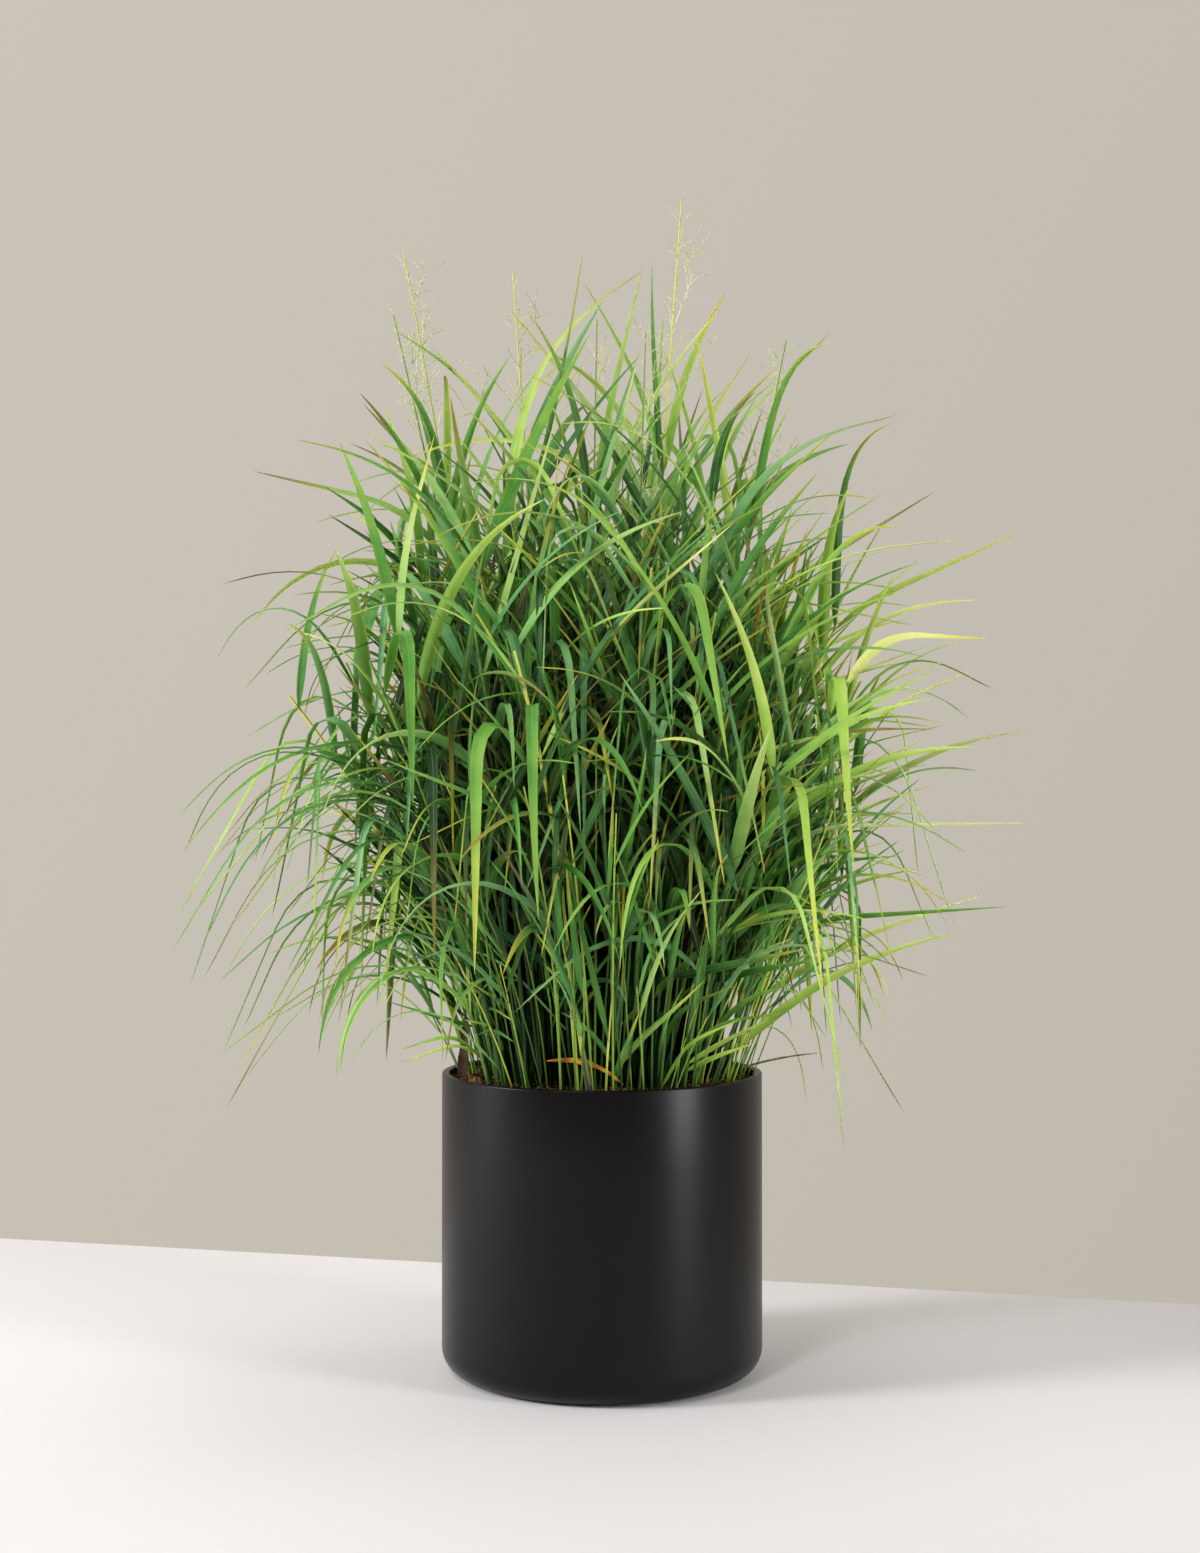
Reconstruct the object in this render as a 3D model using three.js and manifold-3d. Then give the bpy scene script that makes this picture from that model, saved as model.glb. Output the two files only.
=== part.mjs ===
// Switchgrass growing in a round, straight-walled planter.
// Millimetres, +Z up. The origin is the centre of the planter's flat base.
import * as THREE from "three";
import { mergeVertices } from "three/addons/utils/BufferGeometryUtils.js";
import Module from "manifold-3d";

const wasm = await Module();
wasm.setup();

const DEGREE = Math.PI / 180;
const GOLDEN_ANGLE = Math.PI * (3 - Math.sqrt(5));
const CLEAR = 0.3; // gap between pieces that touch
const { lerp, smoothstep } = THREE.MathUtils;

// ---- driving dimensions: pairs in brackets are the least and the greatest value ----

const planter = {
  radius: 175,
  height: 325,
  wall: 8,
  floor: 12,
  baseRound: 28, // outside corner between wall and base
  rimRound: 2,
  sides: 40,
};

const soil = {
  edgeLevel: 317, // where the mix meets the planter's wall
  mound: 5, // how much higher it lies round the crown
  roughness: 1.5,
  rings: 2,
};

const culm = {
  count: 56,
  crownRadius: 146, // circle of soil that the culms rise from
  bearingJitter: 0.12,
  rootDepth: 20,
  lengthInside: 660, // above the soil, at the middle of the crown
  lengthOutside: 440,
  lengthSpread: [0.82, 1.08],
  leanInside: 2 * DEGREE,
  leanOutside: 14 * DEGREE,
  leanJitter: 4 * DEGREE,
  arch: 24 * DEGREE, // extra lean that the outermost culms gain towards their tops
  archSpread: [0.4, 1.3],
  azimuthJitter: 0.35,
  veer: 0.25,
  bend: [0.1, 1.1], // shares of the length between which it turns
  baseRadius: 2.6,
  topRadius: 1.5,
  stations: [0, 0.25, 0.5, 0.75, 1], // shares of the length where a section stands
  startsInPlanter: true,
  ownZone: 0,
  tries: 40,
};

const blade = {
  perInnerCulm: 5,
  perOuterCulm: 9,
  lowestInside: 0.4, // shares of the culm where the lowest and highest leaves leave it
  lowestOutside: 0.18,
  highest: 0.99,
  rootShare: 0.42, // half width of a leaf's root, as a share of its culm's radius
  halfWidth: [3.6, 7.5],
  keel: 1.4, // depth of the midrib below the blade
  shallowestKeel: 0.6, // share of that depth left towards the tip
  shortest: 190,
  longest: 345,
  longestAt: 0.59, // share of the culm where the longest leaves grow
  lengthSpread: [0.75, 1.12],
  opening: [12 * DEGREE, 34 * DEGREE], // angle between a leaf and its culm
  turning: 50 * DEGREE, // how far a leaf may stand out of its row
  outTurning: [0.2, 0.9], // how much of the way the outermost leaves turn to the light
  archLow: 75 * DEGREE, // how far a leaf arches over, at the foot and at the top of a culm
  archHigh: 28 * DEGREE,
  archOutside: 25 * DEGREE, // more on the outermost culms
  archStiffSide: 12 * DEGREE, // less on the side that faces +X, and more on the other
  archSpread: [0.3, 1.7],
  veer: 0.4,
  facing: [0.3, 1.3], // how far it rolls towards the light, as a share of the whole way
  roll: 30 * DEGREE,
  twist: 20 * DEGREE,
  bend: [-0.1, 1.15],
  stations: [0, 0.24, 0.64, 1],
  archedStations: [0, 0.2, 0.47, 0.75, 1],
  arched: 80 * DEGREE, // a blade that turns more than this needs the section more
  ownZone: 28, // close to its root a leaf may pass through the air of its own stem
  tries: 110,
  shorterPerTry: 1 / 300,
};

// The half width along a blade: a narrow collar, a long body and a fine tip.
const outline = { collar: 0.18, collarPower: 0.6, tipPower: 0.75, fullness: 1.35 };

// Stiff blades turn a face to the light. One that arches over keeps its edge to it.
const light = { from: new THREE.Vector3(0, -1, 0.5), limpArch: 110 * DEGREE };

// Some of the leaves fold over and hang straight down.
const folded = {
  share: 0.34,
  lowest: 0.4, // shares of the culm between which a leaf may fold
  highest: 0.95,
  at: [0.22, 0.4], // share of the blade where it folds
  before: 0.13, // the fold takes the stretch from this much before that place
  after: 0.15,
  stations: [-0.08, 0.03, 0.14], // sections in the fold
  hanging: [165 * DEGREE, 180 * DEGREE],
};

// Culms that flower, with the height that each one's panicle reaches.
const flowering = new Map([
  [5, 1262],
  [17, 1228],
  [9, 1222],
  [6, 1172],
  [12, 1149],
  [13, 1132],
  [10, 1108],
]);

const panicle = {
  axisRadius: 0.8,
  lean: 4 * DEGREE, // extra lean at the top of a flowering culm
  lowest: 0.74, // shares of the culm where the lowest and highest branches leave it
  highest: 0.96,
  branches: 4,
  jitter: 0.5, // of the step between branches
  longest: 105,
  shortest: 35,
  lengthSpread: [0.8, 1.1],
  branchRadius: 0.7,
  opening: [14 * DEGREE, 34 * DEGREE],
  azimuthJitter: 0.6,
  droop: [0, 35 * DEGREE],
  bend: [0, 1.2],
  stations: [0, 1],
  ownZone: 30,
  tries: 30,
};

// Leaves that reach out of the crown, by the place of the tip.
const strayTips = [
  { x: 456, y: -20, z: 914, halfWidth: 5 },
  { x: 415, y: -60, z: 794, halfWidth: 5.5 },
  { x: 466, y: 10, z: 697, halfWidth: 5.5 },
  { x: 465, y: -70, z: 597, halfWidth: 6 },
  { x: 445, y: -10, z: 505, halfWidth: 4 },
  { x: 368, y: 0, z: 962, halfWidth: 5 },
  { x: 324, y: -30, z: 1041, halfWidth: 6 },
  { x: 254, y: 20, z: 1142, halfWidth: 5 },
  { x: 171, y: -60, z: 1065, halfWidth: 6 },
  { x: 377, y: -60, z: 488, halfWidth: 4.5 },
  { x: 346, y: -90, z: 435, halfWidth: 4.5 },
  { x: 257, y: -80, z: 250, halfWidth: 4 },
  { x: 324, y: -60, z: 286, halfWidth: 4 },
  { x: -385, y: 0, z: 984, halfWidth: 4.5 },
  { x: -411, y: -40, z: 855, halfWidth: 5 },
  { x: -462, y: -20, z: 495, halfWidth: 4 },
  { x: -456, y: 20, z: 418, halfWidth: 3.5 },
  { x: -407, y: -30, z: 288, halfWidth: 4 },
  { x: -300, y: -60, z: 380, halfWidth: 4.5 },
  { x: -264, y: 0, z: 1059, halfWidth: 5.5 },
  { x: -190, y: -30, z: 1120, halfWidth: 5 },
  { x: -100, y: -60, z: 1150, halfWidth: 5.5 },
  { x: -21, y: 30, z: 1201, halfWidth: 4 },
  { x: 47, y: -20, z: 1202, halfWidth: 4.5 },
  { x: 138, y: 0, z: 1184, halfWidth: 5 },
];

const stray = {
  lowest: 0.25, // share of the culm
  shortest: 160, // from root to tip, in a straight line
  longest: 350,
  opening: [4 * DEGREE, 34 * DEGREE],
  backLean: 10 * DEGREE, // its culm may lean away from the tip by this much
  steepest: 178 * DEGREE,
  straightest: 0.2, // least share of its slope that it turns by
  hangingSlope: 80 * DEGREE, // past this slope its tip hangs
  hangingFall: 148 * DEGREE,
  upright: 800, // above this height a tip is reached from well below
  uprightSlope: 72 * DEGREE,
  bendEnd: [0.35, 1.15],
  facing: [0.8, 1.2],
  roll: 20 * DEGREE,
  twist: 20 * DEGREE,
  ownZone: 28,
  tries: 12000,
};

// The outline that the other leaves keep within, by height.
const crown = {
  widestHeight: 590,
  widest: 418,
  narrowing: 0.25, // below that height, for each millimetre
  top: 1175,
  bottom: 262, // how low a leaf may hang on the sides
  bottomMiddle: 455, // and over the planter
  middleHalfWidth: 330,
  sideReach: 473, // no strand at all reaches further out
  tipReach: 1280,
  rimClear: 7, // air between the leaves and the planter
};

// The dead sheath that stands at the edge of the soil.
const driedSheath = {
  x: -153,
  y: -22,
  lean: 3 * DEGREE,
  height: 92, // above its foot
  footHalfWidth: 5.5,
  topHalfWidth: 4,
  halfThickness: 1.5,
};

const PATH_STEPS = 24; // short straight steps that a strand's curve is worked out in
const HALVINGS = 20; // steps in the search for the bend that ends at a given tip

const planterBlack = new THREE.MeshStandardMaterial({ color: 0x2b2829, roughness: 0.45, metalness: 0 });
const pottingMix = new THREE.MeshStandardMaterial({ color: 0x33241a, roughness: 1, metalness: 0 });
const grassGreen = new THREE.MeshStandardMaterial({ color: 0x5a7d32, roughness: 0.6, metalness: 0 });
const driedLeaf = new THREE.MeshStandardMaterial({ color: 0x5b4033, roughness: 0.8, metalness: 0 });

// ---- numbers that look random and are the same every time ----

const mixers = [12.9898, 78.233, 37.719, 93.989];
const MIXER_SCALE = 43758.5453;

// The keys name one draw: which culm, leaf and attempt it is for, and a number for its use.
function chance(...keys) {
  const angle = keys.reduce((sum, key, place) => sum + (key + 1) * mixers[place], 0);
  const mixed = Math.sin(angle) * MIXER_SCALE;
  return mixed - Math.floor(mixed);
}

function between(low, high, ...keys) {
  return low + (high - low) * chance(...keys);
}

// ---- solids and meshes ----

function mergedByPlace(geometry, tolerance) {
  geometry.deleteAttribute("normal");
  geometry.deleteAttribute("uv");
  return mergeVertices(geometry, tolerance);
}

function toSolid(geometry) {
  const merged = mergedByPlace(geometry, 1e-4);
  return new wasm.Manifold(
    new wasm.Mesh({
      numProp: 3,
      vertProperties: new Float32Array(merged.attributes.position.array),
      triVerts: new Uint32Array(merged.index.array),
    }),
  );
}

function toGeometry(solid) {
  const mesh = solid.getMesh();
  const geometry = new THREE.BufferGeometry();
  geometry.setAttribute("position", new THREE.BufferAttribute(mesh.vertProperties, 3));
  geometry.setIndex(new THREE.BufferAttribute(mesh.triVerts, 1));
  geometry.computeVertexNormals();
  return geometry;
}

// A closed skin over rings that run from root to tip. The last ring may be a single point.
function loft(rings) {
  const positions = rings.flat().flatMap((point) => point.toArray());
  const indices = [];
  const sides = rings[0].length;
  const last = rings.length - 1;
  for (let side = 1; side < sides - 1; side++) indices.push(0, side + 1, side);
  for (let ring = 0; ring < last; ring++) {
    const low = ring * sides;
    const high = low + sides;
    for (let side = 0; side < sides; side++) {
      const next = (side + 1) % sides;
      if (rings[ring + 1].length === 1) {
        indices.push(low + side, low + next, high);
      } else {
        indices.push(low + side, low + next, high + next, low + side, high + next, high + side);
      }
    }
  }
  if (rings[last].length > 1) {
    const low = last * sides;
    for (let side = 1; side < sides - 1; side++) indices.push(low, low + side, low + side + 1);
  }
  const geometry = new THREE.BufferGeometry();
  geometry.setAttribute("position", new THREE.Float32BufferAttribute(positions, 3));
  geometry.setIndex(indices);
  return geometry;
}

// ---- strands: the curve that a culm, a blade or a flower branch follows ----

// A level direction.
function towards(compass) {
  return new THREE.Vector3(Math.cos(compass), Math.sin(compass), 0);
}

// A strand leaves its root at the angle rise from the vertical and ends at the angle fall. It
// turns between two shares of its length, and veers sideways as it goes.
function strandHeading(shape, share) {
  const [bendStart, bendEnd] = shape.bend;
  const angle = lerp(shape.rise, shape.fall, smoothstep(share, bendStart, bendEnd));
  const compass = shape.azimuth + shape.veer * share;
  const along = towards(compass).multiplyScalar(Math.sin(angle)).setZ(Math.cos(angle));
  const across = towards(compass + Math.PI / 2);
  const upper = new THREE.Vector3().crossVectors(along, across);
  return { along, across, upper };
}

function strandPath(shape) {
  const place = shape.root.clone();
  const points = [place.clone()];
  for (let step = 0; step < PATH_STEPS; step++) {
    const heading = strandHeading(shape, (step + 0.5) / PATH_STEPS);
    place.addScaledVector(heading.along, shape.length / PATH_STEPS);
    points.push(place.clone());
  }
  return points;
}

function pointAt(points, share) {
  const place = share * PATH_STEPS;
  const before = Math.min(Math.floor(place), PATH_STEPS - 1);
  return points[before].clone().lerp(points[before + 1], place - before);
}

// The place on the straight stretches between a culm's sections, where its leaves are rooted.
function axisAt(stem, share) {
  const next = Math.max(1, culm.stations.findIndex((station) => station >= share));
  const [from, to] = [culm.stations[next - 1], culm.stations[next]];
  return pointAt(stem.points, from).lerp(pointAt(stem.points, to), (share - from) / (to - from));
}

// A level three-sided section. Sections of one rod are turned alike, which keeps its sides flat.
function levelSection(centre, radius) {
  return [0, 1, 2].map((side) => centre.clone().addScaledVector(towards((2 * Math.PI * side) / 3), radius));
}

// Rings of a rod that gets thinner towards its tip.
function rodRings(shape, stations, rootRadius, tipRadius) {
  const points = strandPath(shape);
  return stations.map((share) => {
    const radius = lerp(rootRadius, tipRadius, share);
    return radius === 0 ? [pointAt(points, share)] : levelSection(pointAt(points, share), radius);
  });
}

// Half width along a blade, as a share of its widest.
function bladeOutline(share) {
  const widening = Math.min(1, share / outline.collar) ** outline.collarPower;
  const taper = (1 - share) ** outline.tipPower;
  return Math.min(1, outline.fullness * widening * taper);
}

// A blade's section is a flat triangle: its two edges and the keel below. The root's section is
// turned like the next one, which keeps the collar's sides flat, and is twice as deep for its width.
function bladeRings(shape) {
  const points = strandPath(shape);
  return shape.stations.map((share) => {
    const centre = pointAt(points, share);
    if (share === 1) return [centre];
    const atRoot = share === 0;
    const turnedLike = atRoot ? shape.stations[1] : share;
    const { across, upper } = strandHeading(shape, turnedLike);
    const roll = shape.roll + shape.twist * turnedLike;
    const width = across.clone().multiplyScalar(Math.cos(roll)).addScaledVector(upper, Math.sin(roll));
    const depth = across.multiplyScalar(Math.sin(roll)).addScaledVector(upper, -Math.cos(roll));
    const size = atRoot ? shape.rootHalfWidth / shape.halfWidth : bladeOutline(share);
    const keel = blade.keel * (atRoot ? 2 * size : Math.max(blade.shallowestKeel, size));
    return [
      centre.clone().addScaledVector(width, shape.halfWidth * size),
      centre.clone().addScaledVector(width, -shape.halfWidth * size),
      centre.clone().addScaledVector(depth, keel),
    ];
  });
}

function rollToLight(shape) {
  const { across, upper } = strandHeading(shape, 0.5);
  const stiffness = Math.max(0, 1 - (shape.fall - shape.rise) / light.limpArch);
  return stiffness * Math.atan(-across.dot(light.from) / upper.dot(light.from));
}

function stationsFor(shape) {
  return Math.abs(shape.fall - shape.rise) > blade.arched ? blade.archedStations : blade.stations;
}

// ---- air that is already taken ----

// The air is split into small cubes. A strand marks the cubes that it fills and those round them,
// so that a strand of another stem, which must keep out of them, can't touch it.
const CELL = 3;
const SPACING = 1.5; // between the points that stand for a strand's surface
const MARGIN = 20; // past the furthest tips
const SHARED = 255; // a cube that two stems have marked
const cellsWide = Math.ceil((2 * (crown.sideReach + MARGIN)) / CELL);
const cellsHigh = Math.ceil((crown.tipReach + MARGIN) / CELL);
const air = new Uint8Array(cellsWide * cellsWide * cellsHigh);

function cellOf(point) {
  const column = Math.floor(point.x / CELL + cellsWide / 2);
  const row = Math.floor(point.y / CELL + cellsWide / 2);
  const layer = Math.floor(point.z / CELL);
  return (layer * cellsWide + row) * cellsWide + column;
}

// Points on the flats between a strand's rings, each with its distance along the strand.
function* surfacePoints(rings) {
  let travelled = 0;
  for (let i = 1; i < rings.length; i++) {
    const low = rings[i - 1];
    const high = rings[i].length === 1 ? low.map(() => rings[i][0]) : rings[i];
    const reach = low[0].distanceTo(high[0]);
    const stepsAlong = Math.ceil(reach / SPACING);
    for (let j = 0; j <= stepsAlong; j++) {
      const [left, right, keel] = low.map((point, side) => point.clone().lerp(high[side], j / stepsAlong));
      const distance = travelled + (reach * j) / stepsAlong;
      const stepsAcross = Math.ceil(left.distanceTo(right) / SPACING) || 1;
      for (let k = 0; k <= stepsAcross; k++) yield [left.clone().lerp(right, k / stepsAcross), distance];
      yield [keel, distance];
    }
    travelled += reach;
  }
}

function besidePlanter(point) {
  const distance = Math.hypot(point.x, point.y);
  return distance < planter.radius + crown.rimClear && point.z < planter.height + crown.rimClear;
}

// Close to its root a strand may pass through the air that its own stem has marked. Only a culm
// starts inside the planter.
function isClear({ rings, owner }, { ownZone, startsInPlanter = false }) {
  for (const [point, distance] of surfacePoints(rings)) {
    if (!startsInPlanter && besidePlanter(point)) return false;
    const mark = air[cellOf(point)];
    if (mark !== 0 && (mark !== owner || distance > ownZone)) return false;
  }
  return true;
}

function markAir(rings, owner) {
  const around = [-1, 0, 1];
  for (const [point] of surfacePoints(rings)) {
    const centre = cellOf(point);
    for (const layer of around) {
      for (const row of around) {
        for (const column of around) {
          const cell = centre + (layer * cellsWide + row) * cellsWide + column;
          air[cell] = air[cell] === 0 || air[cell] === owner ? owner : SHARED;
        }
      }
    }
  }
}

// The first of several draws that suits and whose strand passes only through free air.
function firstClear(kind, draw) {
  for (let attempt = 0; attempt < kind.tries; attempt++) {
    const strand = draw(attempt);
    if (strand && isClear(strand, kind)) {
      markAir(strand.rings, strand.owner);
      return strand;
    }
  }
  return null;
}

// ---- culms ----

function drawCulm(index, attempt) {
  const outness = Math.sqrt((index + 0.5) / culm.count); // 0 in the middle of the crown, 1 at its edge
  const bearing = index * GOLDEN_ANGLE + between(-culm.bearingJitter, culm.bearingJitter, index, 1);
  const rootLevel = soil.edgeLevel - culm.rootDepth;
  const lean = lerp(culm.leanInside, culm.leanOutside, outness ** 1.3);
  const rise = lean + between(-culm.leanJitter, culm.leanJitter, index, 2, attempt);
  const jitter = culm.azimuthJitter / (0.3 + outness);
  const shape = {
    root: towards(bearing).multiplyScalar(culm.crownRadius * outness).setZ(rootLevel),
    azimuth: bearing + between(-jitter, jitter, index, 3, attempt),
    veer: between(-culm.veer, culm.veer, index, 4, attempt),
    rise,
    bend: culm.bend,
  };
  const flowers = flowering.has(index);
  if (flowers) {
    shape.fall = rise + panicle.lean;
    shape.length = (flowering.get(index) - rootLevel) / Math.cos(rise + panicle.lean / 2);
  } else {
    const grown = lerp(culm.lengthInside, culm.lengthOutside, outness ** 2);
    shape.fall = rise + culm.arch * outness ** 2 * between(...culm.archSpread, index, 5, attempt);
    shape.length = culm.rootDepth + grown * between(...culm.lengthSpread, index, 6);
  }
  const tipRadius = flowers ? panicle.axisRadius : culm.topRadius;
  return {
    ...shape,
    index,
    owner: index + 1,
    outness,
    flowers,
    tipRadius,
    points: strandPath(shape),
    rings: rodRings(shape, culm.stations, culm.baseRadius, tipRadius),
  };
}

// A leaf's root lies inside the culm, on its axis.
function leafRoot(stem, share) {
  const culmRadius = lerp(culm.baseRadius, stem.tipRadius, share);
  return { root: axisAt(stem, share), rootHalfWidth: blade.rootShare * culmRadius };
}

// How far a culm leans towards a compass direction, at a share of its length.
function leanTowards(stem, share, compass) {
  return Math.asin(strandHeading(stem, share).along.dot(towards(compass)));
}

// ---- blades ----

function crownRadiusAt(height) {
  if (height < crown.widestHeight) return crown.widest - crown.narrowing * (crown.widestHeight - height);
  const climbed = (height - crown.widestHeight) / (crown.top - crown.widestHeight);
  return crown.widest * Math.sqrt(Math.max(0, 1 - climbed ** 2));
}

function crownBottomAt(x) {
  return lerp(crown.bottomMiddle, crown.bottom, smoothstep(Math.abs(x) / crown.middleHalfWidth, 0.3, 1));
}

// The root may lie lower, because the lowest leaves grow up into the crown.
function withinCrown([root, ...rings]) {
  return rings.every(([point]) => {
    const distance = Math.hypot(point.x, point.y);
    return point.z > crownBottomAt(point.x) && distance < crownRadiusAt(point.z);
  });
}

// Leaves stand in two rows. On the outer culms most of them turn to the light outside.
function leafAzimuth(stem, leaf, attempt, outward) {
  const row = 2 * Math.PI * chance(stem.index, 7) + (leaf % 2) * Math.PI;
  const turning = blade.turning + attempt * DEGREE;
  const drawn = row + between(-turning, turning, stem.index, leaf, attempt, 2);
  const turnOut = Math.atan2(Math.sin(outward - drawn), Math.cos(outward - drawn));
  return drawn + turnOut * stem.outness ** 2 * between(...blade.outTurning, stem.index, leaf, attempt, 3);
}

function drawBlade(stem, leaf, attempt) {
  const { index, outness } = stem;
  const leaves = Math.floor(lerp(blade.perInnerCulm, blade.perOuterCulm, outness));
  if (leaf >= leaves) return null;
  const lowest = lerp(blade.lowestInside, blade.lowestOutside, outness);
  const highest = stem.flowers ? panicle.lowest - 0.02 : blade.highest;
  const share = lerp(lowest, highest, (leaf + between(0.2, 0.8, index, leaf, 1)) / leaves);
  const start = leafRoot(stem, share);
  const azimuth = leafAzimuth(stem, leaf, attempt, Math.atan2(start.root.y, start.root.x));
  const rise = leanTowards(stem, share, azimuth) + between(...blade.opening, index, leaf, attempt, 4);
  const arch =
    lerp(blade.archLow, blade.archHigh, share ** 1.5) +
    blade.archOutside * outness -
    blade.archStiffSide * Math.cos(azimuth);
  const longest = Math.sin(Math.min(Math.PI, (Math.PI / 2) * (share / blade.longestAt)));
  const grown = lerp(blade.shortest, blade.longest, longest);
  const shape = {
    ...start,
    azimuth,
    veer: between(-blade.veer, blade.veer, index, leaf, attempt, 6),
    rise,
    fall: Math.min(Math.PI, rise + arch * between(...blade.archSpread, index, leaf, attempt, 12)),
    bend: blade.bend,
    roll: between(-blade.roll, blade.roll, index, leaf, attempt, 7),
    twist: between(-blade.twist, blade.twist, index, leaf, attempt, 8),
    halfWidth: between(...blade.halfWidth, index, leaf, 9),
    length: grown * between(...blade.lengthSpread, index, leaf, 10) * (1 - attempt * blade.shorterPerTry),
  };
  if (share > folded.lowest && share < folded.highest && chance(index, leaf, 5) < folded.share) {
    const fold = between(...folded.at, index, leaf, attempt, 11);
    shape.fall = between(...folded.hanging, index, leaf, attempt, 12);
    shape.bend = [fold - folded.before, fold + folded.after];
    shape.stations = [0, ...folded.stations.map((step) => fold + step), 1];
  } else {
    shape.stations = stationsFor(shape);
    shape.roll += rollToLight(shape) * between(...blade.facing, index, leaf, attempt, 13);
  }
  const rings = bladeRings(shape);
  return withinCrown(rings) ? { ...shape, owner: stem.owner, rings } : null;
}

// ---- stray leaves ----

// Bends and stretches a strand until it ends at the given tip.
function aimed(shape, tip) {
  const chord = tip.clone().sub(shape.root);
  const wanted = Math.acos(chord.z / chord.length());
  let low = shape.rise;
  let high = Math.PI;
  let reached = chord;
  for (let halving = 0; halving < HALVINGS; halving++) {
    shape.fall = (low + high) / 2;
    reached = strandPath({ ...shape, length: 1 }).at(-1).sub(shape.root);
    if (Math.acos(reached.z / reached.length()) < wanted) low = shape.fall;
    else high = shape.fall;
  }
  return { ...shape, length: chord.length() / reached.length() };
}

function drawStray(stems, place, attempt) {
  const { x, y, z, halfWidth } = strayTips[place];
  const tip = new THREE.Vector3(x, y, z);
  const stem = stems[Math.floor(chance(place, 1, attempt) * stems.length)];
  const share = between(stray.lowest, stem.flowers ? panicle.lowest : 1, place, 2, attempt);
  const start = leafRoot(stem, share);
  const chord = tip.clone().sub(start.root);
  const azimuth = Math.atan2(chord.y, chord.x);
  const stemLean = leanTowards(stem, share, azimuth);
  const rise = stemLean + between(...stray.opening, place, 3, attempt);
  const slope = Math.acos(chord.z / chord.length());
  const suits = chord.length() > stray.shortest && chord.length() < stray.longest;
  if (!suits || stemLean < -stray.backLean || rise > slope * (1 - stray.straightest)) return null;
  if (tip.z > stray.upright && slope > stray.uprightSlope) return null;
  const shape = aimed(
    {
      ...start,
      azimuth,
      veer: 0,
      rise,
      bend: [0, between(...stray.bendEnd, place, 6, attempt)],
      roll: between(-stray.roll, stray.roll, place, 4, attempt),
      twist: between(-stray.twist, stray.twist, place, 5, attempt),
      halfWidth,
    },
    tip,
  );
  if (shape.fall > stray.steepest || shape.length > stray.longest) return null;
  if (slope > stray.hangingSlope && shape.fall < stray.hangingFall) return null;
  shape.stations = stationsFor(shape);
  shape.roll += rollToLight(shape) * between(...stray.facing, place, 7, attempt);
  return { ...shape, stem, owner: stem.owner, rings: bladeRings(shape) };
}

// ---- the dead sheath ----

// Level four-sided sections, each side moved out by the given gap.
function sheathRings(gap) {
  return [-gap, driedSheath.height].map((height) => {
    const tapered = lerp(driedSheath.footHalfWidth, driedSheath.topHalfWidth, height / driedSheath.height);
    const halfWidth = tapered + gap;
    const halfThickness = driedSheath.halfThickness + gap;
    const x = driedSheath.x + height * Math.sin(driedSheath.lean);
    const z = soil.edgeLevel - culm.rootDepth + height;
    return [
      new THREE.Vector3(x - halfWidth, driedSheath.y - halfThickness, z),
      new THREE.Vector3(x + halfWidth, driedSheath.y - halfThickness, z),
      new THREE.Vector3(x + halfWidth, driedSheath.y + halfThickness, z),
      new THREE.Vector3(x - halfWidth, driedSheath.y + halfThickness, z),
    ];
  });
}

// ---- panicles ----

function drawBranch(stem, branch, attempt) {
  const { index } = stem;
  const step = (branch + panicle.jitter * chance(index, branch, 21)) / panicle.branches;
  const rise = between(...panicle.opening, index, branch, attempt, 22);
  const jitter = between(-panicle.azimuthJitter, panicle.azimuthJitter, index, branch, attempt, 23);
  const grown = lerp(panicle.longest, panicle.shortest, branch / panicle.branches);
  const shape = {
    root: axisAt(stem, lerp(panicle.lowest, panicle.highest, step)),
    azimuth: branch * GOLDEN_ANGLE + jitter,
    veer: 0,
    rise,
    fall: rise + between(...panicle.droop, index, branch, attempt, 24),
    bend: panicle.bend,
    length: grown * between(...panicle.lengthSpread, index, branch, 25),
  };
  return { ...shape, owner: stem.owner, rings: rodRings(shape, panicle.stations, panicle.branchRadius, 0) };
}

// ---- growth: culms first, then what reaches furthest, then the rest from the top down ----

markAir(sheathRings(0), culm.count + 1);
const stems = [];
for (let index = 0; index < culm.count; index++) {
  stems.push({ ...firstClear(culm, (attempt) => drawCulm(index, attempt)), sprouts: [] });
}

function sprout(stem, strand) {
  if (strand) stem.sprouts.push(strand);
}

strayTips.forEach((tip, place) => {
  const strand = firstClear(stray, (attempt) => drawStray(stems, place, attempt));
  if (strand) sprout(strand.stem, strand);
});
for (const stem of stems.filter(({ flowers }) => flowers)) {
  for (let branch = 0; branch < panicle.branches; branch++) {
    sprout(stem, firstClear(panicle, (attempt) => drawBranch(stem, branch, attempt)));
  }
}
for (let leaf = blade.perOuterCulm - 1; leaf >= 0; leaf--) {
  for (const stem of stems) {
    sprout(stem, firstClear(blade, (attempt) => drawBlade(stem, leaf, attempt)));
  }
}

// ---- planter and soil ----

function arc(centreX, centreY, radius, from, to, pieces) {
  const points = [];
  for (let i = 0; i <= pieces; i++) {
    const angle = lerp(from, to, i / pieces) * DEGREE;
    points.push(new THREE.Vector2(centreX + radius * Math.cos(angle), centreY + radius * Math.sin(angle)));
  }
  return points;
}

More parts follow.
